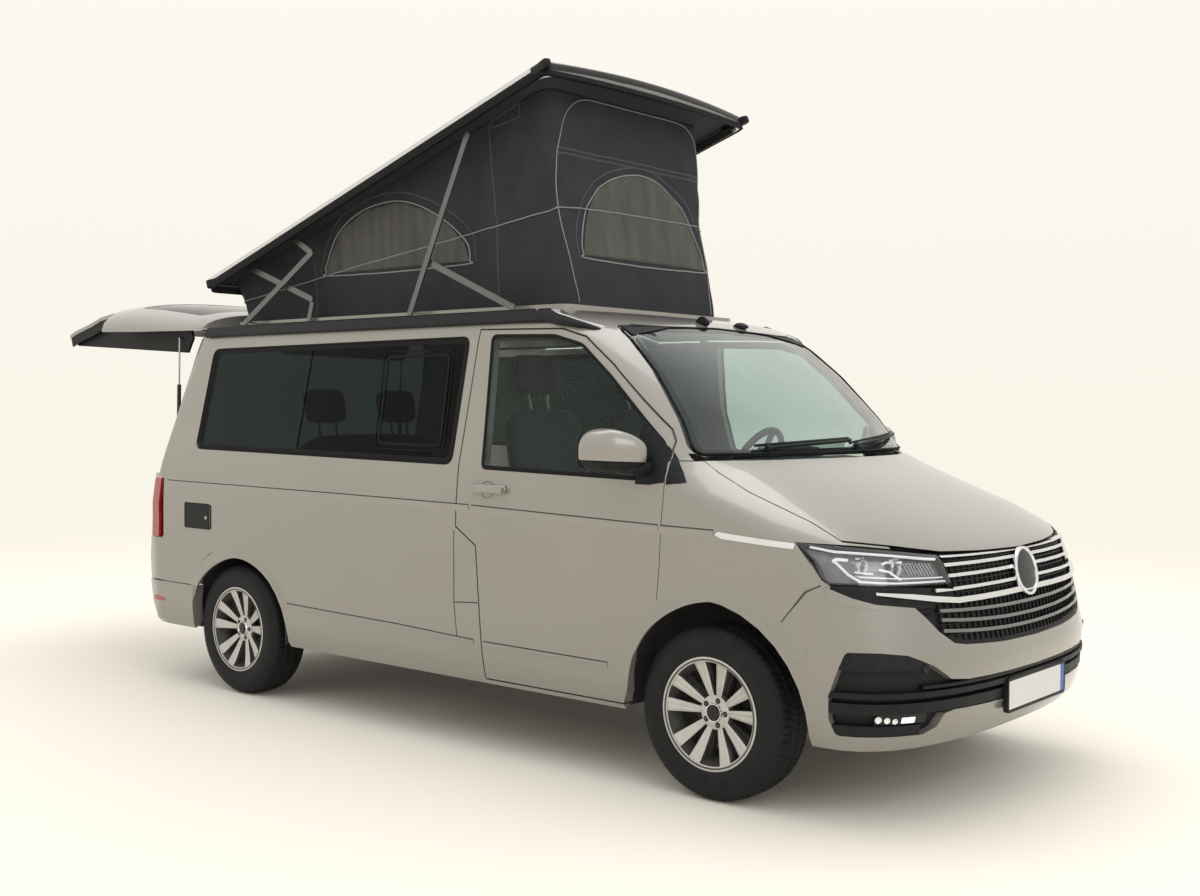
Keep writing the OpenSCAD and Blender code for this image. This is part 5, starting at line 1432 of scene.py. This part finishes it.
# ---------------------------------------------------------------- screen and wipers
def make_screen():
    """Black border printed round the inside of the windscreen, its seal, corner pieces at its top,
    and wipers that follow the glass."""
    inner = np.array([(-838, 1322), (0, 1322), (838, 1322), (700, 1826), (0, 1846), (-700, 1826)]) * [0.965, 1]
    border = front_strip(rounded_line(inner, 45, 300), flat_profile(34, -9.5, -8, 0.3), True)
    mesh_piece("windscreen_border", *border, GLOSS_BLACK, slot="black_trim")
    edge = [(-820, 1319), (0, 1319), (820, 1319), (690, 1840), (0, 1860), (-690, 1840)]
    seal = front_strip(rounded_line(edge, 40, 300), flat_profile(8, -4, 1.0, 0.6), True)
    mesh_piece("windscreen_seal", *seal, RUBBER, slot="black_trim")
    u, w = np.meshgrid(np.linspace(0, 1, 24), np.linspace(0, 1, 6), indexing="ij")
    x = 672 - 285 * u
    z = np.interp(x, [389, 672], [1846, 1838]) - 36 * (1 - u) * (1 - w) - 1
    corners = [front_plate(s * x, z, 1.2, -2) for s in (-1, 1)]
    mesh_piece("windscreen_corner_pieces", *joined(corners), TRIM, slot="black_trim")
    parts = []
    for x0, x1, z0, z1 in ((-560, 110, 1346, 1368), (90, 740, 1346, 1388)):
        t = np.linspace(0, 1, 50)
        x, z = x0 + (x1 - x0) * t, z0 + (z1 - z0) * t ** 0.8
        pivot = x0 * 0.9 + x1 * 0.08, z0 - 12
        arm = np.column_stack([x[::-1] * 0.9 + x1 * 0.08, z[::-1] - 12])
        parts += [front_strip(np.column_stack([x, z]), [(-5, 2), (5, 2), (3, 10), (-3, 10)]),
                  front_strip(arm, [(-7, 6), (7, 6), (5, 17), (-5, 17)]),
                  front_disc(*pivot, [(0, 20), (11, 18), (15, 12), (16, -4), (0, -4)], 0, 32)]
    mesh_piece("wipers", *joined(parts), TRIM, slot="black_trim")


make_screen()


# ---------------------------------------------------------------- cabin
PAD_POWER = 0.42
CABIN_FLOOR = 352


def cushion(centre, size, crown, channels=0, turn=None, n=40):
    """Padded form: a superellipsoid whose faces swell towards their middle, with channels sewn
    across it as shallow rounded grooves."""
    p, f = pad_mesh((0, 0, 0), (2, 2, 2), PAD_POWER, n * 2)
    x, y, z = p.T
    swell = 1 + crown * (1 - x ** 2) * (1 - y ** 2)
    groove = 1.0
    if channels:
        off_seam = (np.mod(x * channels + 0.5, 1) - 0.5) / 0.09
        groove = 1 - 0.10 * np.exp(-off_seam ** 2) * np.clip(1.4 - np.abs(y), 0, 1)
    q = np.stack([x, y, z * swell * groove], -1) * np.asarray(size, float) / 2
    if turn is not None:
        q = q @ np.asarray(turn).T
    return outward(q + np.asarray(centre, float), f)


def rim_seam(centre, size, turn, n=160):
    """Seam line round the rim of a pad, where its two faces meet."""
    a = np.arange(n) * 2 * math.pi / n
    c, s = np.cos(a), np.sin(a)
    q = np.stack([powered(c, PAD_POWER), powered(s, PAD_POWER), 0 * a], -1)
    q = q * (np.asarray(size, float) / 2 + [0.5, 0.5, 0])
    nrm = np.stack([c, s, 0 * a], -1)
    if turn is not None:
        q, nrm = q @ np.asarray(turn).T, nrm @ np.asarray(turn).T
    return sweep_mesh(q + np.asarray(centre, float), nrm, circle_profile(2.6, 6), True)


def seat_set(name, x, front, z, wide, deep, foot, tall, lean, head_w, heads):
    """One seat: its cushion, a back that leans by lean degrees from its foot, a headrest at each
    place in heads on two posts, and a round-edged pedestal. Sizes in millimetres."""
    turn = rot_x(90 - lean)
    up = np.array([0, math.sin(math.radians(lean)), math.cos(math.radians(lean))])
    foot = np.array([x, foot[0], foot[1]])
    pieces = [("cushion", (x, front + deep / 2, z), (wide, deep, 128), None, 3, 0.5),
              ("back", foot + up * (tall / 2), (wide * 0.97, tall, 108), turn, 3, 0.5)]
    for i, h in enumerate(heads):
        head = foot + up * (tall + 75 + 92) + [h, 0, 0]
        pieces.append((f"headrest_{i + 1}", head, (head_w, 185, 84), turn, 0, 0.7))
    seams, posts = [], []
    for part, centre, size, spin, channels, fill in pieces:
        pad = cushion(centre, size, 0.2, channels, spin)
        o = mesh_piece(f"{name}_{part}", *pad, CLOTH, slot="seat_cloth", sharp=None)
        seams.append(rim_seam(centre, size, spin))
        if part == "cushion":
            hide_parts("rear_bench" if name == "bench" else "front_seats")
    for h in heads:
        for k in (-60, 60):
            a = foot + up * (tall - 40) + [h + k, 0, 0]
            posts.append(sweep_mesh(np.array([a + up * q for q in np.linspace(0, 130, 6)]),
                                    np.tile([0, -1.0, 0], (6, 1)), circle_profile(6, 12)))
    top = z - 60
    base = pad_mesh((x, front + deep / 2 + 20, (CABIN_FLOOR + top) / 2),
                    (wide - 110, deep - 90, top - CABIN_FLOOR), 0.12, 40)
    mesh_piece(name + "_seams", *joined(seams), SEAM, slot="seat_cloth")
    mesh_piece(name + "_posts", *joined(posts), STEEL, slot="steel")
    mesh_piece(name + "_pedestal", *base, CABIN, slot="black_trim")


def make_seats():
    """Two front seats, the rear bench and the inside mirror."""
    seat_set("driver_seat", 400, 787, 865, 500, 520, (1239, 815), 690, 14, 270, (0,))
    seat_set("passenger_seat", -400, 727, 865, 500, 520, (1179, 815), 690, 14, 270, (0,))
    seat_set("bench", 65, 2480, 755, 1030, 600, (3012, 705), 640, 12, 255, (-265, 265))
    parts = [pad_mesh((0, 960, 1708), (250, 30, 66), 0.4, 36, rot_x(-12)),
             pad_mesh((0, 935, 1752), (30, 40, 60), 0.5, 20)]
    mesh_piece("interior_mirror", *joined(parts), CABIN, slot="black_trim")


make_seats()


# ---------------------------------------------------------------- studio
BACKDROP = (0.955, 0.91, 0.815, 1)
FLOOR = surface("studio_paper", (0.93, 0.885, 0.8), 0.9, vary=0.004, scale=0.2)


def fade_floor():
    """Mixes the floor into an even glow of the backdrop's colour with distance from the middle, so
    that no horizon shows."""
    t = FLOOR.node_tree
    bsdf = next(n for n in t.nodes if n.type == "BSDF_PRINCIPLED")
    end = next(n for n in t.nodes if n.type == "OUTPUT_MATERIAL")
    length = node(t, "ShaderNodeVectorMath", operation="LENGTH")
    t.links.new(node(t, "ShaderNodeTexCoord").outputs["Object"], length.inputs[0])
    far = node(t, "ShaderNodeMapRange", {"From Min": 4.0, "From Max": 13.0}, interpolation_type="SMOOTHSTEP")
    t.links.new(length.outputs["Value"], far.inputs[0])
    glow = node(t, "ShaderNodeEmission", {"Color": BACKDROP})
    mix = node(t, "ShaderNodeMixShader")
    for source, target in ((far, 0), (bsdf, 1), (glow, 2)):
        t.links.new(source.outputs[0], mix.inputs[target])
    t.links.new(mix.outputs[0], end.inputs["Surface"])


def make_world():
    """Soft light from all round: the backdrop's colour at the horizon, white overhead."""
    world = bpy.data.worlds.new("studio")
    bpy.context.scene.world = world
    world.use_nodes = True
    t = world.node_tree
    back = next(m for m in t.nodes if m.type == "BACKGROUND")
    back.inputs["Strength"].default_value = 1.0
    split = node(t, "ShaderNodeSeparateXYZ")
    t.links.new(node(t, "ShaderNodeTexCoord").outputs["Generated"], split.inputs[0])
    ramp = node(t, "ShaderNodeValToRGB")
    low, high = ramp.color_ramp.elements
    low.position, low.color = 0.0, BACKDROP
    high.position, high.color = 1.0, (1.05, 1.05, 1.05, 1)
    t.links.new(split.outputs[2], ramp.inputs[0])
    t.links.new(ramp.outputs[0], back.inputs["Color"])


def make_studio():
    """Flat pale floor, a soft world and two large soft lamps, in metres."""
    n = 40
    x, y = np.meshgrid(np.linspace(-40000, 40000, n), np.linspace(-30000, 60000, n), indexing="ij")
    mesh_piece("studio_floor", np.stack([x, y, 0 * x], -1), grid_quads(n, n), FLOOR, stage=True)
    make_world()
    for name, place, size, power, aim in (("lamp_overhead", (1, 1, 9), 7, 260, (0, 0, 0)),
                                          ("lamp_front_side", (-4, -10, 6), 5, 150, (0, -1, 1))):
        lamp = bpy.data.lights.new(name, "AREA")
        lamp.energy, lamp.size = power, size
        o = bpy.data.objects.new(name, lamp)
        bpy.context.scene.collection.objects.link(o)
        o.location = place
        o.rotation_euler = (Vector(aim) - Vector(place)).to_track_quat("-Z", "Y").to_euler()


fade_floor()
make_studio()
bpy.context.scene.view_settings.view_transform = "Standard"
